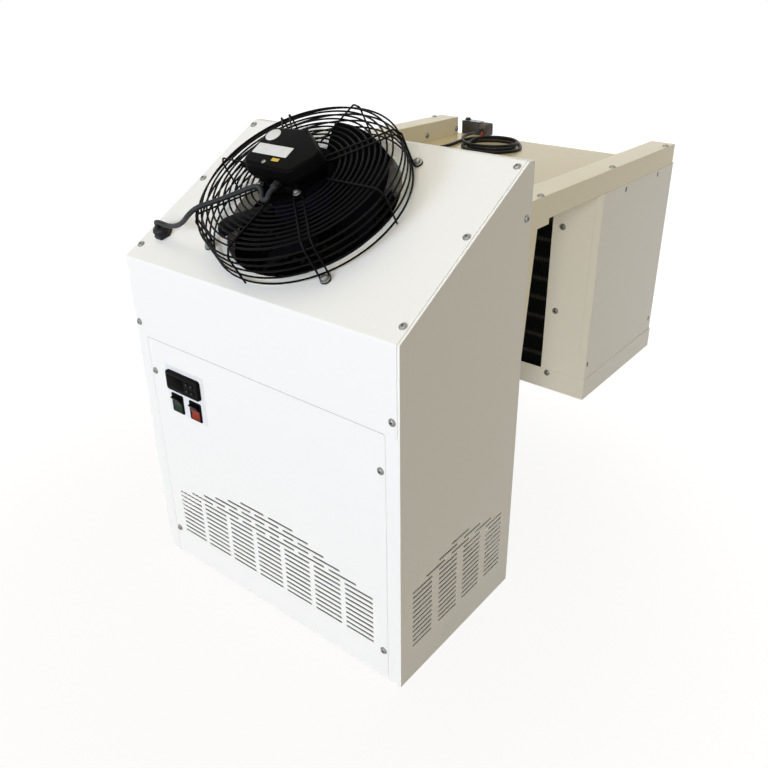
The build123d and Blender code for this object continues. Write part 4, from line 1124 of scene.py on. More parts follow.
    def _tie(self) -> bpy.types.Object:
        """Makes the small red tie that holds the loose turns, with its tail standing up.

        Returns:
            The tie's object.
        """
        middle = self._turn_point(self.tie_angle, self.tie_radius, 0)
        angle = math.radians(self.tie_angle)
        place = facing(tuple(middle), (math.sin(angle), -math.cos(angle), 0), UP)
        r = self.lead_diameter / 2
        band = [(r - 0.1, -2.0), (r + 0.8, -2.0), (r + 1.0, 0), (r + 0.8, 2.0), (r - 0.1, 2.0)]
        shape = Shape().add(ring_turned(band, 20), place)
        lock = block(rectangle(4.0, 4.2), -2.2, 2.2, 0.8, 0.6)
        shape.add(lock, place @ shift(r + 1.6, 0, 0))
        tail = [(r + 1, 0, 0), (r + 5, 0.5, 0.4), (r + 9, -1.5, 1.2)]
        foot = [(-1.5, r + 0.6, 0), (-2.2, r + 5, 0.5), (-1.8, r + 10, 1.2)]
        for corners, thickness in ((tail, 2.0), (foot, 1.6)):
            shape.add(swept(bent_wire(corners, 3.0), thickness / 2, 6), place)
        return shape.piece("lead_red_tie", [RED_TIE], slot="cable_sheath")


# Fans
@dataclass
class FanSet:
    """A guard, motor, rotor and blades on one seat.

    Attributes:
        prefix: What the pieces' names start with.
        seat: The place of the guard's foot, with Z along the shaft.
        body: The body that turns.
        height: The guard's height.
        ring_pitch: The distance between the guard's top rings.
        nodes: The solids of guard, motor, rotor and blades.
        flange_screws: Whether the screws of the motor's flange show on the arms.
        wire: The diameter of the guard's wires.
        side_radius: The radius of its upright side.
        inner_radius: The radius of its smallest ring.
        side_pitch: The distance between its side rings.
        shoulder: How far its upper edge is cut back.
        arm_spacing: The distance between an arm's two wires.
        arm_inner: Where the arms' inner loops turn.
        strut_inner: Where the single struts end.
        foot_radius: Where the feet's loops turn.
        foot_steps: How many steps a loop takes.
        flange_radius: The radius of the motor's flange.
        flange_thickness: Its thickness.
        motor_gap: The gap between flange and rotor.
        rotor_length: The length of the rotor can.
        hub_radius: Its radius.
        can_edge: The rounding of its closed end.
        rib_count: How many ribs that end has.
        tip_radius: How far the blades reach.
        blade_count: How many there are.
        blade_thickness: The thickness of a blade.
        blade_chord: The width over which it is rolled.
        blade_camber: How far it bulges.
        blade_pitch: Its pitch in degrees.
        blade_lean: How far the bulge stands ahead of the shaft.
        blade_rise: The height of its middle over the can's end.
        blade_grid: Its steps across and outwards.
        root_angles: Where its rear and front edge start, in degrees.
        tip_angles: Where they end.
    """

    prefix: str
    seat: Matrix
    body: Body
    height: float
    ring_pitch: float
    nodes: tuple[str, str, str, str]
    flange_screws: bool
    wire: float = 2.6
    side_radius: float = 143.7
    inner_radius: float = 62.0
    side_pitch: float = 9.8
    shoulder: float = 8.0
    arm_spacing: float = 12.0
    arm_inner: float = 47.5
    strut_inner: float = 58.0
    foot_radius: float = 152.0
    foot_steps: int = 8
    flange_radius: float = 54.0
    flange_thickness: float = 5.5
    motor_gap: float = 1.5
    rotor_length: float = 58.0
    hub_radius: float = 46.0
    can_edge: float = 5.0
    rib_count: int = 8
    tip_radius: float = 124.0
    blade_count: int = 5
    blade_thickness: float = 1.6
    blade_chord: float = 116.0
    blade_camber: float = 9.0
    blade_pitch: float = 24.0
    blade_lean: float = 12.0
    blade_rise: float = 23.0
    blade_grid: tuple[int, int] = (18, 14)
    root_angles: Flat = (-26.0, 22.0)
    tip_angles: Flat = (-14.0, 32.0)

    @property
    def flange_low(self) -> float:
        """The underside of the motor's flange."""
        return self.height - self.wire / 2 - self.flange_thickness

    @property
    def rotor_low(self) -> float:
        """The closed end of the rotor can."""
        return self.flange_low - self.motor_gap - self.rotor_length

    def build(self) -> None:
        """Makes the four pieces."""
        self._guard()
        self._motor()
        self._rotor()
        self._blades()

    def _guard(self) -> None:
        """Makes the round wires: rings, struts, double arms with looped feet."""
        shape = Shape()
        low = 2 * self.wire
        shoulder_z = max(self.height - self.wire - self.shoulder, low)
        count = int((shoulder_z - self.wire) / self.side_pitch)
        step = (shoulder_z - low) / max(count, 1)
        for i in range(count + 1):
            shape.add(wire_ring(self.side_radius, low + i * step, self.wire, 96), self.seat)
        top = int((self.side_radius - self.shoulder - self.inner_radius) / self.ring_pitch)
        for i in range(top + 1):
            radius = self.inner_radius + i * self.ring_pitch
            shape.add(wire_ring(radius, self.height - self.wire, self.wire, 80), self.seat)
        outside = self.side_radius + self.wire
        over = [(self.side_radius - self.shoulder + self.wire, self.height), (outside, shoulder_z)]
        strut = [(self.strut_inner, self.height), *over, (outside, self.wire)]
        for i in range(4):
            corners = [(r, 0.0, z) for r, z in strut]
            shape.add(swept(bent_wire(corners, 6.0), self.wire / 2), self.seat @ spin(90 * i))
            turn = self.seat @ spin(45 + 90 * i)
            shape.add(swept(self._arm_line(over, outside), self.wire / 2, closed=True), turn)
            shape.add(self._screw(), turn @ shift(self.foot_radius, 0, self.wire), 1)
            if self.flange_screws and i:
                top_face = self.height + self.wire / 2
                shape.add(self._screw(0.8), turn @ shift(self.arm_inner, 0, top_face), 1)
        finishes, nodes = [WIRE_PAINT, ZINC], [self.nodes[0]]
        shape.piece(f"{self.prefix}_guard_wires", finishes, slot="black_wire", stands_for=nodes)

    def _arm_line(self, over: Sequence[Flat], outside: float) -> list[Vector]:
        """Gives the closed line of one double arm, round its foot and its inner loop.

        Args:
            over: Radius and height of the two shoulder bends.
            outside: The radius of the upright stretch.

        Returns:
            Points along the wire.
        """
        half, foot_z = self.arm_spacing / 2, self.wire / 2
        outward = [(self.arm_inner, half, self.height), *((r, half, z) for r, z in over)]
        outward += [(outside, half, foot_z + 3.0), (outside + 3.0, half, foot_z)]
        line = bent_wire(outward, 5.0)
        for k in range(self.foot_steps + 1):
            line.append(self._loop_point(self.foot_radius, foot_z, 90 - 180 * k / self.foot_steps))
        line += bent_wire([(r, -y, z) for r, y, z in reversed(outward)], 5.0)
        for k in range(1, self.foot_steps):
            degrees = -90 - 180 * k / self.foot_steps
            line.append(self._loop_point(self.arm_inner, self.height, degrees))
        return line

    def _loop_point(self, radius: float, height: float, degrees: float) -> Vector:
        """Gives a point of the half circle that joins an arm's two wires."""
        half, angle = self.arm_spacing / 2, math.radians(degrees)
        return Vector((radius + half * math.cos(angle), half * math.sin(angle), height))

    def _screw(self, scale: float = 1.0) -> Part:
        """Makes a hexagon screw with its washer.

        Args:
            scale: Its size against a screw for a guard's foot.

        Returns:
            Points and faces.
        """
        washer = [(6.4, 0.0), (7.0, 0.3), (7.0, 1.0), (6.6, 1.3), (4.9, 1.3)]
        head = [(4.9, 1.3), (4.9, 1.5), (4.5, 4.6), (3.4, 5.5), (1.6, 5.9), (1.4, 4.6), (0.4, 4.4)]
        return turned([(r * scale, z * scale) for r, z in washer + head], 18)

    def _motor(self) -> None:
        """Makes the fixed flange with its rim, and the shaft that the rotor turns on."""
        low, radius = self.flange_low, self.flange_radius
        high = low + self.flange_thickness
        profile = [
            (6.0, self.rotor_low + 6.0),
            (6.0, low),
            (radius - 1.5, low),
            (radius, low + 1.2),
            (radius, high - 2.0),
            (radius - 1.4, high - 0.5),
            (radius - 4.0, high),
            (radius - 12.0, high),
            (radius - 14.0, high - 1.2),
            (12.0, high - 1.2),
            (10.0, high),
            (0.5, high),
        ]
        shape, nodes = Shape().add(turned(profile, 64), self.seat), [self.nodes[1]]
        name = f"{self.prefix}_motor_flange"
        shape.piece(name, [FAN_PAINT], slot="black_paint", stands_for=nodes)

    def _rotor(self) -> None:
        """Makes the turning can with its rounded end, cooling ribs and lip."""
        low, radius = self.rotor_low, self.hub_radius
        high = low + self.rotor_length
        profile = [(0.5, low), (radius * 0.55, low), (radius * 0.57, low + 0.8)]
        profile.append((radius * 0.8, low + 0.8))
        profile += [(radius - inset, low + rise) for rise, inset in quarter(self.can_edge, 5)]
        for inset, down in (
            (0, 8), (0.8, 7), (0.8, 4), (0, 3), (0, 0.6), (0.6, 0), (2.4, 0), (2.4, 4),
        ):
            profile.append((radius - inset, high - down))
        profile += [(7.0, high - 4), (6.1, high - 5), (6.1, low + 6.0), (0.5, low + 6.0)]
        shape = Shape().add(turned(profile, 72), self.seat)
        rib = block(rectangle(9.0, 3.0, (radius * 0.68, 0)), -0.8, 0.2, 1.2, 0.5)
        for i in range(self.rib_count):
            turn = self.seat @ spin(360 / self.rib_count * i)
            shape.add(rib, turn @ shift(0, 0, low) @ spin(180, "X"))
        name, nodes = f"{self.prefix}_rotor_can", [self.nodes[2]]
        shape.piece(name, [ROTOR_PAINT], self.body, "black_paint", nodes)

    def _blade_point(self, radius: float, degrees: float, skin: float) -> Vector:
        """Puts a point of a blade's outline onto its rolled and pitched sheet.

        Args:
            radius: Distance from the shaft.
            degrees: Angle round the shaft.
            skin: Height off the middle of the sheet.

        Returns:
            The point over the blades' middle plane.
        """
        angle, pitch = math.radians(degrees), math.radians(self.blade_pitch)
        x, y = radius * math.cos(angle), radius * math.sin(angle)
        cos_p, sin_p = math.cos(pitch), math.sin(pitch)
        along = y - self.blade_lean
        rise = 0.0
        for _ in range(6):
            rise = self.blade_camber * (1 - (2 * along / self.blade_chord) ** 2) + skin
            along = (y - self.blade_lean + rise * sin_p) / cos_p
        return Vector((x, y, along * sin_p + rise * cos_p))

    def _blades(self) -> None:
        """Makes the stamped blades with their rounded edges and root weld."""
        across, out = self.blade_grid
        root = self.hub_radius - 0.5
        points = []
        for side in (-1, 1):
            for i in range(out + 1):
                v = i / out
                radius = root + (self.tip_radius - root) * v
                shares = (v, min(1.0, 2 * v - v * v))
                ends = zip(self.root_angles, self.tip_angles, shares)
                trail, lead = (start + (end - start) * share for start, end, share in ends)
                for k in range(across + 1):
                    u = k / across
                    # The sheet thins to a quarter at its rounded edges
                    thin = min(1.0, 8 * min(u, 1 - u) + 0.25, 6 * (1 - v) + 0.25)
                    skin = side * self.blade_thickness / 2 * thin
                    points.append(self._blade_point(radius, trail + (lead - trail) * u, skin))
        shape = Shape()
        faces = self._skin_faces(across, out)
        middle = self.seat @ shift(0, 0, self.rotor_low + self.blade_rise)
        for i in range(self.blade_count):
            shape.add((points, faces), middle @ spin(360 / self.blade_count * i))
        name, nodes = f"{self.prefix}_pressed_blades", [self.nodes[3]]
        shape.piece(name, [FAN_PAINT], self.body, "black_paint", nodes, sharp_degrees=50)

    def _skin_faces(self, across: int, out: int) -> list[list[int]]:
        """Gives the faces of a sheet from its lower and its upper grid of points.

        Args:
            across: How many steps each grid has across.
            out: How many it has outwards.

        Returns:
            The faces of both sides and of the edge all round.
        """
        width = across + 1
        size = width * (out + 1)
        faces = []
        for i in range(out):
            for k in range(across):
                a = i * width + k
                faces.append([a, a + 1, a + width + 1, a + width])
                faces.append([size + a, size + a + width, size + a + width + 1, size + a + 1])
        rim = [*range(across)] + [i * width + across for i in range(out)]
        rim += [out * width + k for k in range(across, 0, -1)]
        rim += [i * width for i in range(out, 0, -1)]
        faces += [[a, size + a, size + b, b] for a, b in zip(rim, rim[1:] + rim[:1])]
        return faces


@dataclass
class TerminalBox:
    """The black box with its lid on the condenser fan's motor.

    Attributes:
        corners: The outline's corners across and up the slope.
        corner_radius: The rounding of those corners.
        neck_radius: The radius of the neck that it stands on.
        neck_height: The neck's height.
        rib_angles: Where the neck's four ribs stand, in degrees.
        floor: The underside of the box over the guard's seat.
        base_height: The height of its lower half.
        lid_height: The height of its lid.
        lid_taper: How far the lid's walls lean in.
        lid_edge: The rounding of the lid's upper edge.
        label_rise: How far a label stands off the lid.
        screw_spots: The middles of the lid's screw seats. The first one's screw shows.
    """

    corners: tuple[Flat, ...] = (
        (-56.0, -31.0), (-56.0, 42.0), (9.0, 47.5), (64.0, 9.0), (37.0, -36.0),
    )
    corner_radius: float = 16.0
    neck_radius: float = 40.0
    neck_height: float = 7.0
    rib_angles: tuple[float, ...] = (20, 110, 200, 290)
    floor: float = 64.7
    base_height: float = 13.0
    lid_height: float = 16.0
    lid_taper: float = 3.0
    lid_edge: float = 4.5
    label_rise: float = 0.25
    screw_spots: tuple[Flat, ...] = ((-14, -23.5), (-44, 22), (40, 14), (8, 40))

    def build(self) -> None:
        """Makes the box and its lid."""
        seat = fan_place(n=SHEET)
        self._base(seat)
        self._lid(seat)

    def _level(self, height: float, inset: float) -> tuple[float, list[Flat]]:
        """Gives the box's outline at a height, inset from its full width."""
        corners = inset_corners(self.corners, inset)
        return height, rounded_outline(corners, max(self.corner_radius - inset, 2.0), 8)

    def _base(self, seat: Matrix) -> None:
        """Makes the lower half on its neck.

        Args:
            seat: The guard's seat on the slope.
        """
        floor, top = self.floor, self.floor + self.base_height
        levels = [(floor, 5.5), (floor + 0.8, 3.6), (floor + 2.4, 2.4), (top - 2.6, 1.6)]
        levels += [(top - 2.4, 0.5), (top - 2.0, 0.1), (top - 0.5, 0.1), (top - 0.2, 0.9)]
        levels.append((top, 1.4))
        shape = Shape().add(stacked([self._level(z, inset) for z, inset in levels]), seat)
        low, neck = floor - self.neck_height, self.neck_radius
        profile = [(neck - 1.0, low), (neck, low + 0.8), (neck - 2, floor), (neck - 3, floor + 2)]
        shape.add(turned(profile, 48), seat)
        rib = block(rectangle(5.0, 7.0), 0.0, self.neck_height, 1.5, 1.0)
        for angle in self.rib_angles:
            shape.add(rib, seat @ spin(angle) @ shift(neck - 2.0, 0, low))
        name, nodes = "motor_terminal_base", ["terminal_box"]
        shape.piece(name, [BOX_PLASTIC], slot="black_plastic", stands_for=nodes)

    def _lid(self, seat: Matrix) -> None:
        """Makes the lid with its soft edge, blank labels and screws.

        Args:
            seat: The guard's seat on the slope.
        """
        low = self.floor + self.base_height
        top = low + self.lid_height
        levels = [self._level(low, 0.9), self._level(low + 0.6, 0.1), self._level(low + 3.0, 0.4)]
        for inset, down in quarter(self.lid_edge, 6):
            levels.append(self._level(top - down, self.lid_taper - 0.6 + inset))
        shape = Shape().add(stacked(levels), seat)
        foot, face = top - 0.2, top + self.label_rise
        shape.add(block(rectangle(61.5, 18.3, (-16.2, -1.8)), foot, face, 1.0, 0.1), seat, 1)
        shape.add(block(rectangle(12.5, 5.2, (1.3, -17)), foot, face, 0.5, 0.1), seat, 2)
        round_label = turned([(10.8, -0.2), (10.8, 0.2), (10.6, 0.3), (0.5, 0.3)], 40)
        shape.add(round_label, seat @ shift(-37.5, 24.5, top), 1)
        screw_seat = turned([(4.4, 0.5), (4.4, 0.7), (3.9, 0.75), (3.5, 0.2), (0.5, 0.2)], 20)
        spots = [seat @ shift(x, s, top - 0.6) for x, s in self.screw_spots]
        for spot in spots:
            shape.add(screw_seat, spot)
        head = [(3.2, 0.2), (3.1, 1.0), (2.2, 1.7), (1.2, 1.9), (1.0, 1.0), (0.3, 0.9)]
        shape.add(turned(head, 14), spots[0], 3)
        finishes, nodes = [BOX_PLASTIC, LABEL, YELLOW, ZINC], ["terminal_lid"]
        shape.piece("motor_terminal_lid", finishes, slot="black_plastic", stands_for=nodes)


# Small parts
@dataclass
class Glands:
    """The cable glands: in the slope, in the motor's box and at the wall.

    Attributes:
        panel_x: Where the panel gland stands across the slope.
        panel_s: Where it stands up the slope.
        nut_radius: The radius over the corners of a panel gland's nut.
        nut_height: The nut's height.
        cap_radius: The radius of its ribbed cap.
        cap_steps: How many steps the cap has round it, four to a rib.
        height: The height of nut and cap.
        bore: The radius of the hole for the cable.
        lead_place: The middle of the lead's gland on the housing's rear.
        motor_start: The foot of the motor's gland, from the fan's centre on the slope.
        motor_way: The direction of that gland across and up the slope.
        motor_radius: The radius of that gland.
        motor_length: Its length.
    """

    panel_x: float = -214.0
    panel_s: float = 52.0
    nut_radius: float = 13.5
    nut_height: float = 6.0
    cap_radius: float = 12.0
    cap_steps: int = 48
    height: float = 16.0
    bore: float = 3.4
    lead_place: Point = (-120.0, 137.5, 606.0)
    motor_start: Point = (7.0, -34.39, 72.4)
    motor_way: Flat = (-0.0537, -0.99856)
    motor_radius: float = 6.2
    motor_length: float = 11.0

    def build(self) -> None:
        """Makes the three glands as one piece."""
        shape = Shape()
        for place in (
            slope_place(self.panel_x, self.panel_s, SHEET),
            facing(self.lead_place, BACK, RIGHT),
        ):
            self._gland(shape, place)
        self._motor_gland(shape)
        shape.piece("cable_gland_set", [GLAND], slot="grey_gland", stands_for=["cable_glands"])

    def _gland(self, shape: Shape, place: Matrix) -> None:
        """Adds a hexagon nut with its ribbed cap.

        Args:
            shape: The shape to add to.
            place: The gland's foot, with Z out of the panel.
        """
        nut, top = self.nut_radius, self.nut_height
        shape.add(turned([(nut - 1, 0), (nut, 0.6), (nut, top - 1), (nut - 1.4, top)], 6), place)
        cap, height = self.cap_radius, self.height
        levels = []
        for z, radius, rib in (
            (top - 0.3, cap - 1.0, 0.0),
            (top + 0.4, cap - 0.3, 0.5),
            (height - 4.0, cap - 0.5, 0.6),
            (height - 2.6, cap - 1.6, 0.3),
            (height - 1.0, cap - 3.6, 0.0),
            (height, self.bore + 1.6, 0.0),
            (height - 0.6, self.bore, 0.0),
        ):
            reaches = [radius - rib * (k % 4 > 1) for k in range(self.cap_steps)]
            ring = zip(reaches, circle(1.0, self.cap_steps))
            levels.append((z, [(reach * x, reach * y) for reach, (x, y) in ring]))
        shape.add(stacked(levels), place)

    def _motor_gland(self, shape: Shape) -> None:
        """Adds the small gland where the cable enters the motor's box.

        Args:
            shape: The shape to add to.
        """
        seat = fan_place()
        way = seat.to_3x3() @ Vector((*self.motor_way, 0.0))
        up = seat.to_3x3() @ Vector(UP)
        place = facing(tuple(seat @ Vector(self.motor_start)), tuple(way), tuple(up))
        radius, length = self.motor_radius, self.motor_length
        shape.add(turned([(radius, -3), (radius, 3.2), (radius - 0.5, 3.6)], 6), place)
        cap = [(radius - 0.9, 3.4), (radius - 0.6, 4.0), (radius - 0.8, length - 3)]
        cap += [(radius - 1.6, length - 0.8), (self.bore + 0.4, length), (self.bore, length - 0.4)]
        shape.add(turned(cap, 20), place)


@dataclass
class ScrewHeads:
    """The pan-head screws with cross recesses that hold the panels.

    Attributes:
        height: A head's height.
        profile: The head's radius and height at each step below its top.
        top_radius: The radius of its flat top.
        cross_reach: Half the length of the cross recess.
        cross_half: Half the width of its arms.
        cross_depth: How deep it is.
        cross_turn: How far a driver left it turned, in degrees.
        slope_spots: Heads on the slope: distance from the middle and up the slope.
        front_spots: Heads that face the front, for the right-hand side.
        rail_y: Heads on top of the rails.
        inner_y: Heads on the inner side of the evaporator's sides.
    """

    height: float = 2.6
    profile: tuple[Flat, ...] = (
        (5.4, 0.0), (5.4, 0.5), (5.1, 0.8), (4.3, 0.9), (4.2, 1.4), (3.8, 2.1),
    )
    top_radius: float = 3.0
    cross_reach: float = 2.5
    cross_half: float = 0.6
    cross_depth: float = 1.3
    cross_turn: float = 20.0
    slope_spots: tuple[Flat, ...] = ((239, 24.5), (239, 166.3), (239, 292))
    front_spots: tuple[Point, ...] = (
        (239.5, FRONT - SHEET, 419.5),
        (220, FRONT, 344),
        (220, FRONT, 50),
        (184, EVAPORATOR_FRONT, 381),
        (184, EVAPORATOR_FRONT, 525),
        (179, EVAPORATOR_FRONT - 1.5, 264),
    )
    rail_y: tuple[float, ...] = (168.5, 389.5, 602.5)
    inner_y: tuple[float, ...] = (527, 627.8)

    def build(self) -> None:
        """Makes all the heads as one piece."""
        shape = Shape()
        head = self._head()
        bottom = self.height - self.cross_depth
        floor = self._cross(self.cross_reach - 0.05, self.cross_half - 0.03)
        for place in self._places():
            shape.add(head, place)
            # A dark slab on the recess floor paints the shade inside the cross recess
            shape.add(stacked([(bottom - 0.2, floor), (bottom + 0.05, floor)]), place, 1)
        finishes, nodes = [ZINC, ZINC_PAINTED_SHADE], ["panel_screws"]
        shape.piece("panel_screw_heads", finishes, slot="zinc_fasteners", stands_for=nodes)

    def _cross(self, reach: float, half: float) -> list[Flat]:
        """Gives the outline of the cross recess.

        Args:
            reach: Half the recess's length.
            half: Half the width of its arms.

        Returns:
            Its twelve corners.
        """
        corners = []
        for arm in range(4):
            angle = math.radians(90 * arm + self.cross_turn)
            cos_a, sin_a = math.cos(angle), math.sin(angle)
            for x, y in ((reach, -half), (reach, half), (half, half)):
                corners.append((x * cos_a - y * sin_a, x * sin_a + y * cos_a))
        return corners

    def _head(self) -> Part:
        """Makes one head on its pressed flange.

        Returns:
            Points and faces.
        """
        steps = (*self.profile, (self.top_radius, self.height))
        recess = self._cross(self.cross_reach, self.cross_half)
        return pocketed([(z, circle(r, 24)) for r, z in steps], [(recess, self.cross_depth)])

    def _places(self) -> list[Matrix]:
        """Gives the place of every head, with Z out of its panel.

        Returns:
            Matrices in millimetres.
        """
        places = []
        for side in (-1, 1):
            outward, inward = (side, 0, 0), (-side, 0, 0)
            places += [slope_place(x * side, s, SHEET) for x, s in self.slope_spots]
            places += [facing((x * side, y, z), AHEAD, RIGHT) for x, y, z in self.front_spots]
            places.append(facing((HALF_WIDTH * side, 125.3, 602.8), outward, BACK))
            places += [facing((245 * side, y, RAIL_TOP), UP, RIGHT) for y in self.rail_y]
            places += [facing((207 * side, y, 600), inward, BACK) for y in self.inner_y]
        return places


@dataclass
class Controls:
    """The panel controller and the two rocker switches.

    Attributes:
        centre: The controller's middle, across and up.
        face: The face that the bezels stand on.
        bezel: The controller's bezel, across and up.
        bezel_depth: How far it stands off the panel.
        body: The part behind the panel: across, up and deep.
        corner_radius: The rounding of the bezel's corners.
        window: The display's window, across and up.
        window_offset: Where it stands from the middle.
        button: A button, across and up.
        button_proud: How far it stands off the bezel.
        button_offset: Where the middle of the four buttons is.
        button_pitch: The distance between them.
        button_room: The gap round a button, both sides together.
        switch_x: Where the two switches stand.
        switch_z: Their height.
        switch_bezel: A switch's frame, across and up.
        switch_depth: How far it stands off the panel.
        switch_body: The part behind the panel: across, up and deep.
        rocker_width: A rocker's width.
        rocker_half: Half its height.
        rocker_rise: How far its ends stand off the panel.
        rocker_dish: How much lower its middle is.
        rocker_back: How far its ends reach behind the panel.
        rocker_tilt: Its lean at rest, in degrees.
        cap_thickness: The thickness of its cap.
        cap_edge: Where the coloured part of the cap ends.
        well_room: The gap between its ends and the well.
        rocker_gap: The gap at each side.
    """

    centre: Flat = (-153.0, 341.5)
    face: float = -137.9
    bezel: Flat = (74.0, 32.0)
    bezel_depth: float = 5.0
    body: Point = (71.0, 29.0, 55.0)
    corner_radius: float = 5.0
    window: Flat = (37.0, 19.0)
    window_offset: float = -13.5
    button: Flat = (8.0, 6.0)
    button_proud: float = 0.8
    button_offset: float = 17.5
    button_pitch: float = 11.0
    button_room: float = 0.3
    switch_x: Flat = (-173.0, -132.3)
    switch_z: float = 303.5
    switch_bezel: Flat = (26.0, 31.0)
    switch_depth: float = 2.0
    switch_body: Point = (21.6, 28.4, 16.0)
    rocker_width: float = 18.6
    rocker_half: float = 12.0
    rocker_rise: float = 5.0
    rocker_dish: float = 2.8
    rocker_back: float = 3.0
    rocker_tilt: float = 12.0
    cap_thickness: float = 1.2
    cap_edge: float = 3.0
    well_room: float = 1.2
    rocker_gap: float = 0.4

    def build(self) -> None:
        """Makes the controller, its window and buttons, and both switches."""
        self._case()
        self._window()
        for number, spot in enumerate(self._button_spots(), 1):
            self._button(number, spot)
        self._switch(self.switch_x[0], "green", GREEN, Body.GREEN_ROCKER)
        self._switch(self.switch_x[1], "red", RED, Body.RED_ROCKER)

    def _front(self, x: float, z: float) -> Matrix:
        """Gives a place on the bezels' face, with Z towards the front."""
        return facing((x, self.face, z), AHEAD, RIGHT)

    def _button_spots(self) -> list[Flat]:
        """Gives the buttons' middles from the controller's middle."""
        half = self.button_pitch / 2
        return [(self.button_offset + i * half, k * half) for k in (1, -1) for i in (-1, 1)]

    def _case(self) -> None:
        """Makes the bezel with its pockets, and the body behind the panel."""
        place = self._front(*self.centre)
        depth, softening = self.bezel_depth, ((0.25, 1.0), (0.8, 0.35), (1.5, 0.05), (2.0, 0.0))
        levels = self._bezel_levels(self.bezel, depth, self.corner_radius, 1.8, softening)
        pane = rectangle(*self.window, (self.window_offset, 0))
        pockets = [(rounded_outline(pane, 1.5), 1.0)]
        width, height = (size + self.button_room for size in self.button)
        for spot in self._button_spots():
            pockets.append((rounded_outline(rectangle(width, height, spot), 1.3), 3.4))
        shape = Shape().add(pocketed(levels, pockets), place)
        w, h, d = self.body
        behind = place @ spin(180, "X")
        shape.add(block(rectangle(w, h), -0.2, d, 1.0, 1.0), behind)
        for side in (-1, 1):
            clip = rectangle(1.0, 12.0, (side * (w / 2 + 0.2), 0))
            shape.add(block(clip, 6.0, d - 8, 0.3, 0.3), behind)
        name, nodes = "controller_housing", ["controller_case"]
        shape.piece(name, [CONTROL_PLASTIC], slot="black_plastic", stands_for=nodes)

    def _bezel_levels(
        self, size: Flat, depth: float, radius: float, edge: float, softening: Sequence[Flat]
    ) -> list[Level]:
        """Gives the levels of a bezel with a softened front edge.

        Args:
            size: Its size across and up.
            depth: How far it stands off the panel.
            radius: The rounding of its corners.
            edge: How far below its face the softening starts.
            softening: How far each step lies inwards and below the face.

        Returns:
            The levels from the panel out.
        """
        corners = rectangle(*size)
        levels = [(z, rounded_outline(corners, radius)) for z in (0.0, depth - edge)]
        for inset, down in softening:
            outline = rounded_outline(inset_corners(corners, inset), radius - inset)
            levels.append((depth - down, outline))
        return levels

    def _window(self) -> None:
        """Makes the display's dark window with its softened edge."""
        w, h = self.window
        top = self.bezel_depth
        pane = block(rectangle(w - 0.3, h - 0.3), top - 1.0, top, 1.4, 0.35)
        place = self._front(self.centre[0] + self.window_offset, self.centre[1])
        name, nodes = "controller_display", ["controller_window"]
        Shape().add(pane, place).piece(name, [WINDOW], slot="display_window", stands_for=nodes)

    def _button(self, number: int, spot: Flat) -> None:
        """Makes one push button with its plain mark.

        Args:
            number: The button's number.
            spot: Its middle from the controller's middle.
        """
        w, h = self.button
        top = self.bezel_depth + self.button_proud
        place = self._front(self.centre[0] + spot[0], self.centre[1] + spot[1])
        shape = Shape()
        shape.add(block(rectangle(w, h), top - 3.2, top, 1.2, 0.7), place)
        marks = {
            1: [(-1.5, -1.0), (1.5, -1.0), (0, 1.2)],
            2: [(-1.5, 1.0), (0, -1.2), (1.5, 1.0)],
            3: rectangle(2.2, 2.2),
            4: rectangle(3.0, 0.9),
        }
        shape.add(block(marks[number], top - 0.1, top + 0.12, 0.15, 0.05), place, 1)
        body, nodes = Body(f"button_{number}"), [f"controller_button_{number}"]
        shape.piece(f"push_button_{number}", [BUTTON, MARK], body, "button_plastic", nodes)

    def _switch(self, x: float, colour: str, finish: Finish, body: Body) -> None:
        """Makes one switch: its frame with a well, and its coloured paddle.

        Args:
            x: Where it stands across the panel.
            colour: The paddle's colour, for the pieces' names.
            finish: The paddle's finish.
            body: The paddle's body.
        """
        place = self._front(x, self.switch_z)
        depth, softening = self.switch_depth, ((0.25, 0.35), (0.9, 0.0))
        levels = self._bezel_levels(self.switch_bezel, depth, 2.0, 0.9, softening)
        width = self.rocker_width + 2 * self.rocker_gap
        well = rounded_outline(rectangle(width, 2 * (self.rocker_half + self.well_room)), 0.6)
        shape = Shape().add(pocketed(levels, [(well, depth - 0.1)]), place)
        w, h, d = self.switch_body
        shape.add(self._tub(rounded_outline(rectangle(w, h), 1.0), well, d), place @ spin(180, "X"))
        name, nodes = f"{colour}_switch_bezel", [f"{colour}_switch_frame"]
        shape.piece(name, [CONTROL_PLASTIC], slot="black_plastic", stands_for=nodes)
        self._paddle(x, colour, finish, body)

    def _tub(self, outer: Sequence[Flat], inner: Sequence[Flat], depth: float) -> Part:
        """Makes an open tub with a floor 2 mm thick.

        Args:
            outer: The outline of its outer wall.
            inner: The outline of its inner wall, with as many points.
            depth: Its outer depth.

        Returns:
            Points and faces, closed round the rim.
        """
        count = len(outer)
        points, faces = looped([(0.0, outer), (depth, outer), (depth - 2.0, inner), (0.0, inner)])
        floors = [[row * count + i for i in range(count)] for row in (1, 2)]
        return points, faces[:count] + faces[2 * count :] + floors

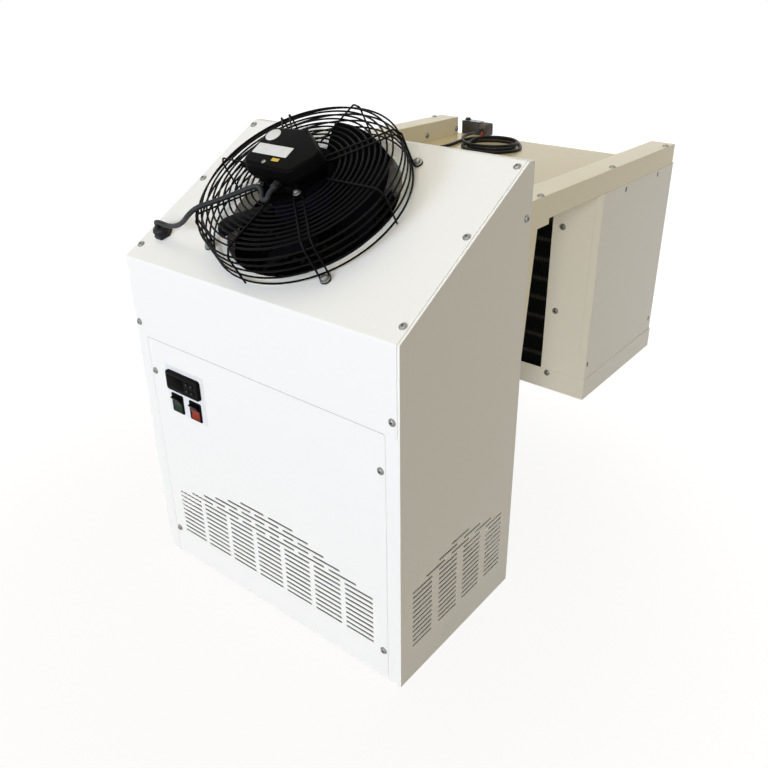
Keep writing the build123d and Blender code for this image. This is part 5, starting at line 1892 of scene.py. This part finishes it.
    def _paddle(self, x: float, colour: str, finish: Finish, body: Body) -> None:
        """Makes the dished paddle: a black rocker with its pins and a cap of two parts.

        Args:
            x: Where it stands across the panel.
            colour: Its colour, for the piece's name.
            finish: Its finish.
            body: Its body.
        """
        place = shift(x, self.face, self.switch_z) @ spin(self.rocker_tilt, "X")
        place = place @ facing((0, 0, 0), RIGHT, UP)
        half, wide = self.rocker_half, self.rocker_width / 2
        rocker = self._bar(self.cap_thickness, self._rocker_back, wide - 0.1, (-half, half))
        shape = Shape().add(rocker, place, 1)
        for ends, number in (((-half, self.cap_edge), 0), ((self.cap_edge, half), 1)):
            shape.add(self._bar(0.0, self._cap_back, wide, ends), place, number)
        shape.add(turned([(1.3, -10.5), (1.5, -10.3), (1.5, 10.3), (1.3, 10.5)], 12), place, 1)
        name, nodes = f"{colour}_rocker_paddle", [f"{colour}_rocker"]
        slot = f"{colour}_rocker_plastic"
        shape.piece(name, [finish, CONTROL_PLASTIC], body, slot, nodes)

    def _rocker_face(self, u: float, lower: float) -> float:
        """Gives the height of the dished face, or of a face that lies lower."""
        return self.rocker_rise - self.rocker_dish * (1 - (u / self.rocker_half) ** 2) - lower

    def _rocker_back(self, u: float) -> float:
        """Gives the height of the rocker's pointed back."""
        return -self.rocker_back - self.rocker_dish * (1 - abs(u) / self.rocker_half)

    def _cap_back(self, u: float) -> float:
        """Gives the height of the cap's underside, let a little into the rocker."""
        return self._rocker_face(u, self.cap_thickness + 0.2)

    def _bar(self, top: float, back: Callable[[float], float], width: float, ends: Flat) -> Part:
        """Makes a stretch of the rocker or of its cap, with softened sides.

        Args:
            top: How far it lies below the dished face.
            back: The height of its back at each place up the rocker.
            width: Half its width.
            ends: Where it starts and ends up the rocker.

        Returns:
            Points and faces.
        """
        low, high = ends
        spots = [low + (high - low) * k / 12 for k in range(13)]
        levels = []
        for at, less in ((-width, 0.5), (-width + 0.5, 0.0), (width - 0.5, 0.0), (width, 0.5)):
            shrink = 1 - less / self.rocker_half
            outline = [(u * shrink, self._rocker_face(u * shrink, top + less)) for u in spots]
            outline += [(u * shrink, back(u) + less * 0.3) for u in reversed(spots)]
            levels.append((at, outline))
        return stacked(levels)


@dataclass
class LeadBox:
    """The small box that the spare lead goes into, with its seam.

    Attributes:
        low: Its lowest corner.
        high: Its highest corner.
        seam_share: How far up the seam is.
    """

    low: Point = (-200.0, 643.7, 588.0)
    high: Point = (-146.0, 673.7, 612.0)
    seam_share: float = 0.6

    def build(self) -> None:
        """Makes the box as two halves that meet in a seam."""
        (x0, y0, z0), (x1, y1, z1) = self.low, self.high
        corners = [(x0, y0), (x1, y0), (x1, y1), (x0, y1)]
        seam = z0 + self.seam_share * (z1 - z0)
        steps = [(z0, 1.2), (z0 + 0.4, 0.5), (z0 + 1.4, 0.0), (seam - 0.3, 0.0)]
        steps += [(seam - 0.25, 0.6), (seam + 0.25, 0.6), (seam + 0.3, 0.0)]
        steps += [(z1 - 3.0, 0.2), (z1 - 1.4, 0.7), (z1 - 0.4, 1.8), (z1, 3.2)]
        outlines = [(z, rounded_outline(inset_corners(corners, inset), 3.2)) for z, inset in steps]
        shape = Shape().add(stacked(outlines))
        shape.piece("lead_end_box", [TAUPE], slot="grey_box_plastic", stands_for=["cable_box"])


@dataclass
class BoxBracket:
    """The folded bracket that holds the lead's box, with a rubber bush on its lip.

    Attributes:
        x: Its span across.
        front: Its upright's front face.
        low: The height of its lower edge.
        top: The height of its lip.
        reach: How far the lip reaches back.
        slot: The lip's slot, across and back.
        bush_spot: The middle of the rubber bush on the lip.
    """

    x: Flat = (-203.0, -163.0)
    front: float = 642.5
    low: float = 560.0
    top: float = 615.4
    reach: float = 22.0
    slot: Flat = (16.0, 6.0)
    bush_spot: Flat = (-13.0, 1.0)

    def build(self) -> None:
        """Makes the upright, the lip with its slot and the bush."""
        x0, x1 = self.x
        middle, width, height = (x0 + x1) / 2, x1 - x0, self.top - self.low
        centre = (middle, self.front + SHEET, self.low + height / 2)
        upright = block(rectangle(width, height), 0, SHEET, 1.5, 0.4)
        # The upright takes the galvanised steel darkened as painted shade
        shape = Shape().add(upright, facing(centre, AHEAD, RIGHT), 1)
        corners = rectangle(width, self.reach)
        lip = rounded_outline(corners, 2.0)
        soft = rounded_outline(inset_corners(corners, 0.35), 1.7)
        slot = rounded_outline(rectangle(*self.slot), 2.9)
        place = shift(middle, self.front + self.reach / 2, self.top)
        levels = [(-SHEET, lip), (-0.4, lip), (0.0, soft)]
        shape.add(pocketed(levels, [(slot, SHEET - 0.2)]), place)
        bush = [(6.5, 0.0), (6.5, 1.2), (5.0, 1.6), (5.0, 3.8)]
        bush += [(4.2, 4.6), (2.2, 4.6), (2.0, 3.0), (0.4, 2.8)]
        shape.add(turned(bush, 24), place @ shift(*self.bush_spot, 0), 2)
        finishes, nodes = [GALVANISED, BRACKET_PAINTED_SHADE, RUBBER], ["box_bracket"]
        shape.piece("box_hanging_bracket", finishes, slot="galvanised_steel", stands_for=nodes)


@dataclass
class CoverSeam:
    """A dark strip in the gap between the front cover and the skirt above it, painted shade of the
    shadow gap.

    Attributes:
        length: Its length across the housing.
        height: The gap that it fills.
        depth: How deep it is.
        centre_height: The height of its middle.
        inner_face: Where its inner face lies.
    """

    length: float = 453.0
    height: float = 0.96
    depth: float = 1.5
    centre_height: float = 398.5
    inner_face: float = -136.6

    def build(self) -> None:
        """Makes the strip of painted shade."""
        place = facing((0, self.inner_face, self.centre_height), AHEAD, RIGHT)
        strip = block(rectangle(self.length, self.height), 0, self.depth, 0.2, 0.15)
        shape = Shape().add(strip, place)
        shape.piece("cover_seam_painted_shade", [SEAM_PAINTED_SHADE], slot="foot_rubber")


@dataclass
class EvaporatorCoil:
    """The evaporator's closely set fins with their tube collars, and its sides' fixing holes.

    Attributes:
        half_width: Half the fins' span.
        front: The fins' front edge.
        rear: Their rear edge.
        low: Their lower edge.
        high: Their upper edge.
        pitch: The least distance between two fins.
        fin: A fin's thickness.
        rows: How many rows of tubes cross them.
        tube_low: The height of the lowest row.
        tube_high: The height of the highest row.
        bands: How far a collar and the ripple round it reach from a row, and how
            many times as wide as a fin they are.
        plain_width: How many times as wide as a fin the rest is drawn.
        hole: A fixing hole, along and up.
        hole_places: The fixing holes' places on a side.
        hole_x: How far the sides stand from the middle.
        rim: How far a hole's pressed rim reaches round it.
    """

    half_width: float = 189.1
    front: float = 368.5
    rear: float = 464.5
    low: float = 241.2
    high: float = 582.8
    pitch: float = 3.2
    fin: float = 0.35
    rows: int = 10
    tube_low: float = 258.9
    tube_high: float = 565.1
    bands: tuple[Flat, Flat] = ((3.0, 3.4), (6.0, 2.2))
    plain_width: float = 1.2
    hole: Flat = (5.0, 9.0)
    hole_places: tuple[Flat, ...] = (
        (574.2, 581.1), (443.9, 579.7), (630.2, 295.1), (370.4, 298.2),
    )
    hole_x: float = 248.5
    rim: float = 0.8

    def build(self) -> None:
        """Makes the fins and the holes in both side panels."""
        self._fins()
        self._holes()

    def _fins(self) -> None:
        """Makes each fin with a rippled front edge in painted shade, and collars at its tube rows
        made brighter as a painted highlight.
        """
        shape = Shape()
        bands = self._fin_bands()
        span = 2 * self.half_width
        count = int(span / self.pitch)
        faces = band_faces(2, 4) + end_faces(2, 4)
        for i in range(count + 1):
            x = -self.half_width + self.fin / 2 + i * (span - self.fin) / count
            for z0, z1, wide, finish in bands:
                sides = rectangle(wide, self.rear - self.front, (x, (self.front + self.rear) / 2))
                shape.add((lifted(sides, z0) + lifted(sides, z1), faces), None, finish)
        finishes, nodes = [FIN_PACK_PAINTED_SHADE, FIN_COLLAR_PAINTED_HIGHLIGHT], ["evaporator_fins"]
        shape.piece("evaporator_fin_pack", finishes, slot="fin_aluminium", stands_for=nodes)

    def _fin_bands(self) -> list[tuple[float, float, float, int]]:
        """Divides a fin's height into collars, ripples and plain stretches.

        Returns:
            The lower and upper end, the width and the finish of each stretch.
        """
        step = (self.tube_high - self.tube_low) / (self.rows - 1)
        (collar, collar_width), (ripple, ripple_width) = self.bands
        rows = [self.tube_low + row * step for row in range(self.rows)]
        ends = {z + away for z in rows for away in (-ripple, -collar, collar, ripple)}
        heights = [self.low, *sorted(z for z in ends if self.low < z < self.high), self.high]
        bands = []
        for z0, z1 in zip(heights, heights[1:]):
            away = min(abs((z0 + z1) / 2 - z) for z in rows)
            # Collars take the painted highlight; the rest of the fin takes painted shade
            if away < collar:
                bands.append((z0, z1, self.fin * collar_width, 1))
            else:
                ratio = ripple_width if away < ripple else self.plain_width
                bands.append((z0, z1, self.fin * ratio, 0))
        return bands

    def _holes(self) -> None:
        """Makes the fixing holes as dark patches of painted shade, with their pressed rims."""
        w, h = self.hole
        hole = block(rectangle(w, h), -0.3, 0.12, 2.4, 0.1)
        inner = rounded_outline(rectangle(w, h), 2.4)
        outer = rounded_outline(rectangle(w + 2 * self.rim, h + 2 * self.rim), 3.2)
        rim = looped([(-0.1, outer), (0.3, outer), (0.3, inner), (-0.1, inner)])
        shape = Shape()
        for side in (-1, 1):
            for y, z in self.hole_places:
                place = facing((side * self.hole_x, y, z), (side, 0, 0), BACK)
                shape.add(hole, place).add(rim, place, 1)
        shape.piece("evaporator_side_holes", [HOLE_PAINTED_SHADE, COVER_ENAMEL], slot="white_enamel")


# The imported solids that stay, with their finishes
DRESS: dict[Finish, tuple[str, ...]] = {
    COVER_ENAMEL: (
        "upper_cover", "front_cover", "side_panel_left", "side_panel_right", "rear_panel",
        "drain_tray", "evaporator_side_left", "evaporator_side_right",
        "evaporator_front_strips", "evaporator_rear_panel",
    ),
    PLATE_ENAMEL: ("control_plate",),
    BASE_PAINT: ("base_tray",),
    RAIL_ENAMEL: ("rail_left", "rail_right", "rail_brackets"),
    DECK_ENAMEL: ("bridge_deck",),
    # The coil tubes take copper darkened as painted shade
    TUBES_PAINTED_SHADE: ("evaporator_tubes", "condenser_tubes"),
    GALVANISED: ("evaporator_end_plates", "condenser_end_plates"),
    # The condenser fins take aluminium darkened as painted shade
    FINS_PAINTED_SHADE: ("condenser_fins",),
    COPPER: ("condenser_pipes", "suction_pipe", "liquid_pipe", "filter_drier"),
    HEATER: ("defrost_heater",),
    DRAIN: ("drain_spigot",),
    COMPRESSOR_PAINT: ("compressor",),
    CONTROL_PLASTIC: ("compressor_terminal_cover",),
    RUBBER: ("compressor_grommets",),
    ZINC: ("compressor_bolts",),
}


def dress_solids() -> None:
    """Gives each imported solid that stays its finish."""
    for finish, nodes in DRESS.items():
        for node in nodes:
            for slot in bpy.data.objects[node].material_slots:
                slot.material = finish.material()
            LOG.info("solid %s takes %s", node, finish.name)


def condenser_fan() -> FanSet:
    """Gives the fan on the housing's slope."""
    return FanSet(
        "condenser_fan",
        fan_place(n=SHEET),
        Body.CONDENSER_FAN,
        height=59.0,
        ring_pitch=8.0,
        nodes=("fan_guard", "fan_motor", "fan_rotor", "fan_blades"),
        flange_screws=True,
    )


def evaporator_fan() -> FanSet:
    """Gives the fan on the evaporator's rear panel."""
    return FanSet(
        "evaporator_fan",
        facing((0, EVAPORATOR_REAR, 430), BACK, RIGHT),
        Body.EVAPORATOR_FAN,
        height=17.0,
        ring_pitch=16.0,
        nodes=("evaporator_guard", "evaporator_motor", "evaporator_rotor", "evaporator_blades"),
        flange_screws=False,
    )


def main() -> None:
    """Builds every sub-assembly in order."""
    logging.basicConfig(level=logging.INFO, format="%(message)s")
    parts = (
        Studio(),
        Cables(),
        condenser_fan(),
        TerminalBox(),
        Glands(),
        Controls(),
        ScrewHeads(),
        evaporator_fan(),
        LeadBox(),
        BoxBracket(),
        CoverSeam(),
        EvaporatorCoil(),
    )
    for part in parts:
        part.build()
        LOG.info("built %s", type(part).__name__)
    dress_solids()


if __name__ == "__main__":
    main()
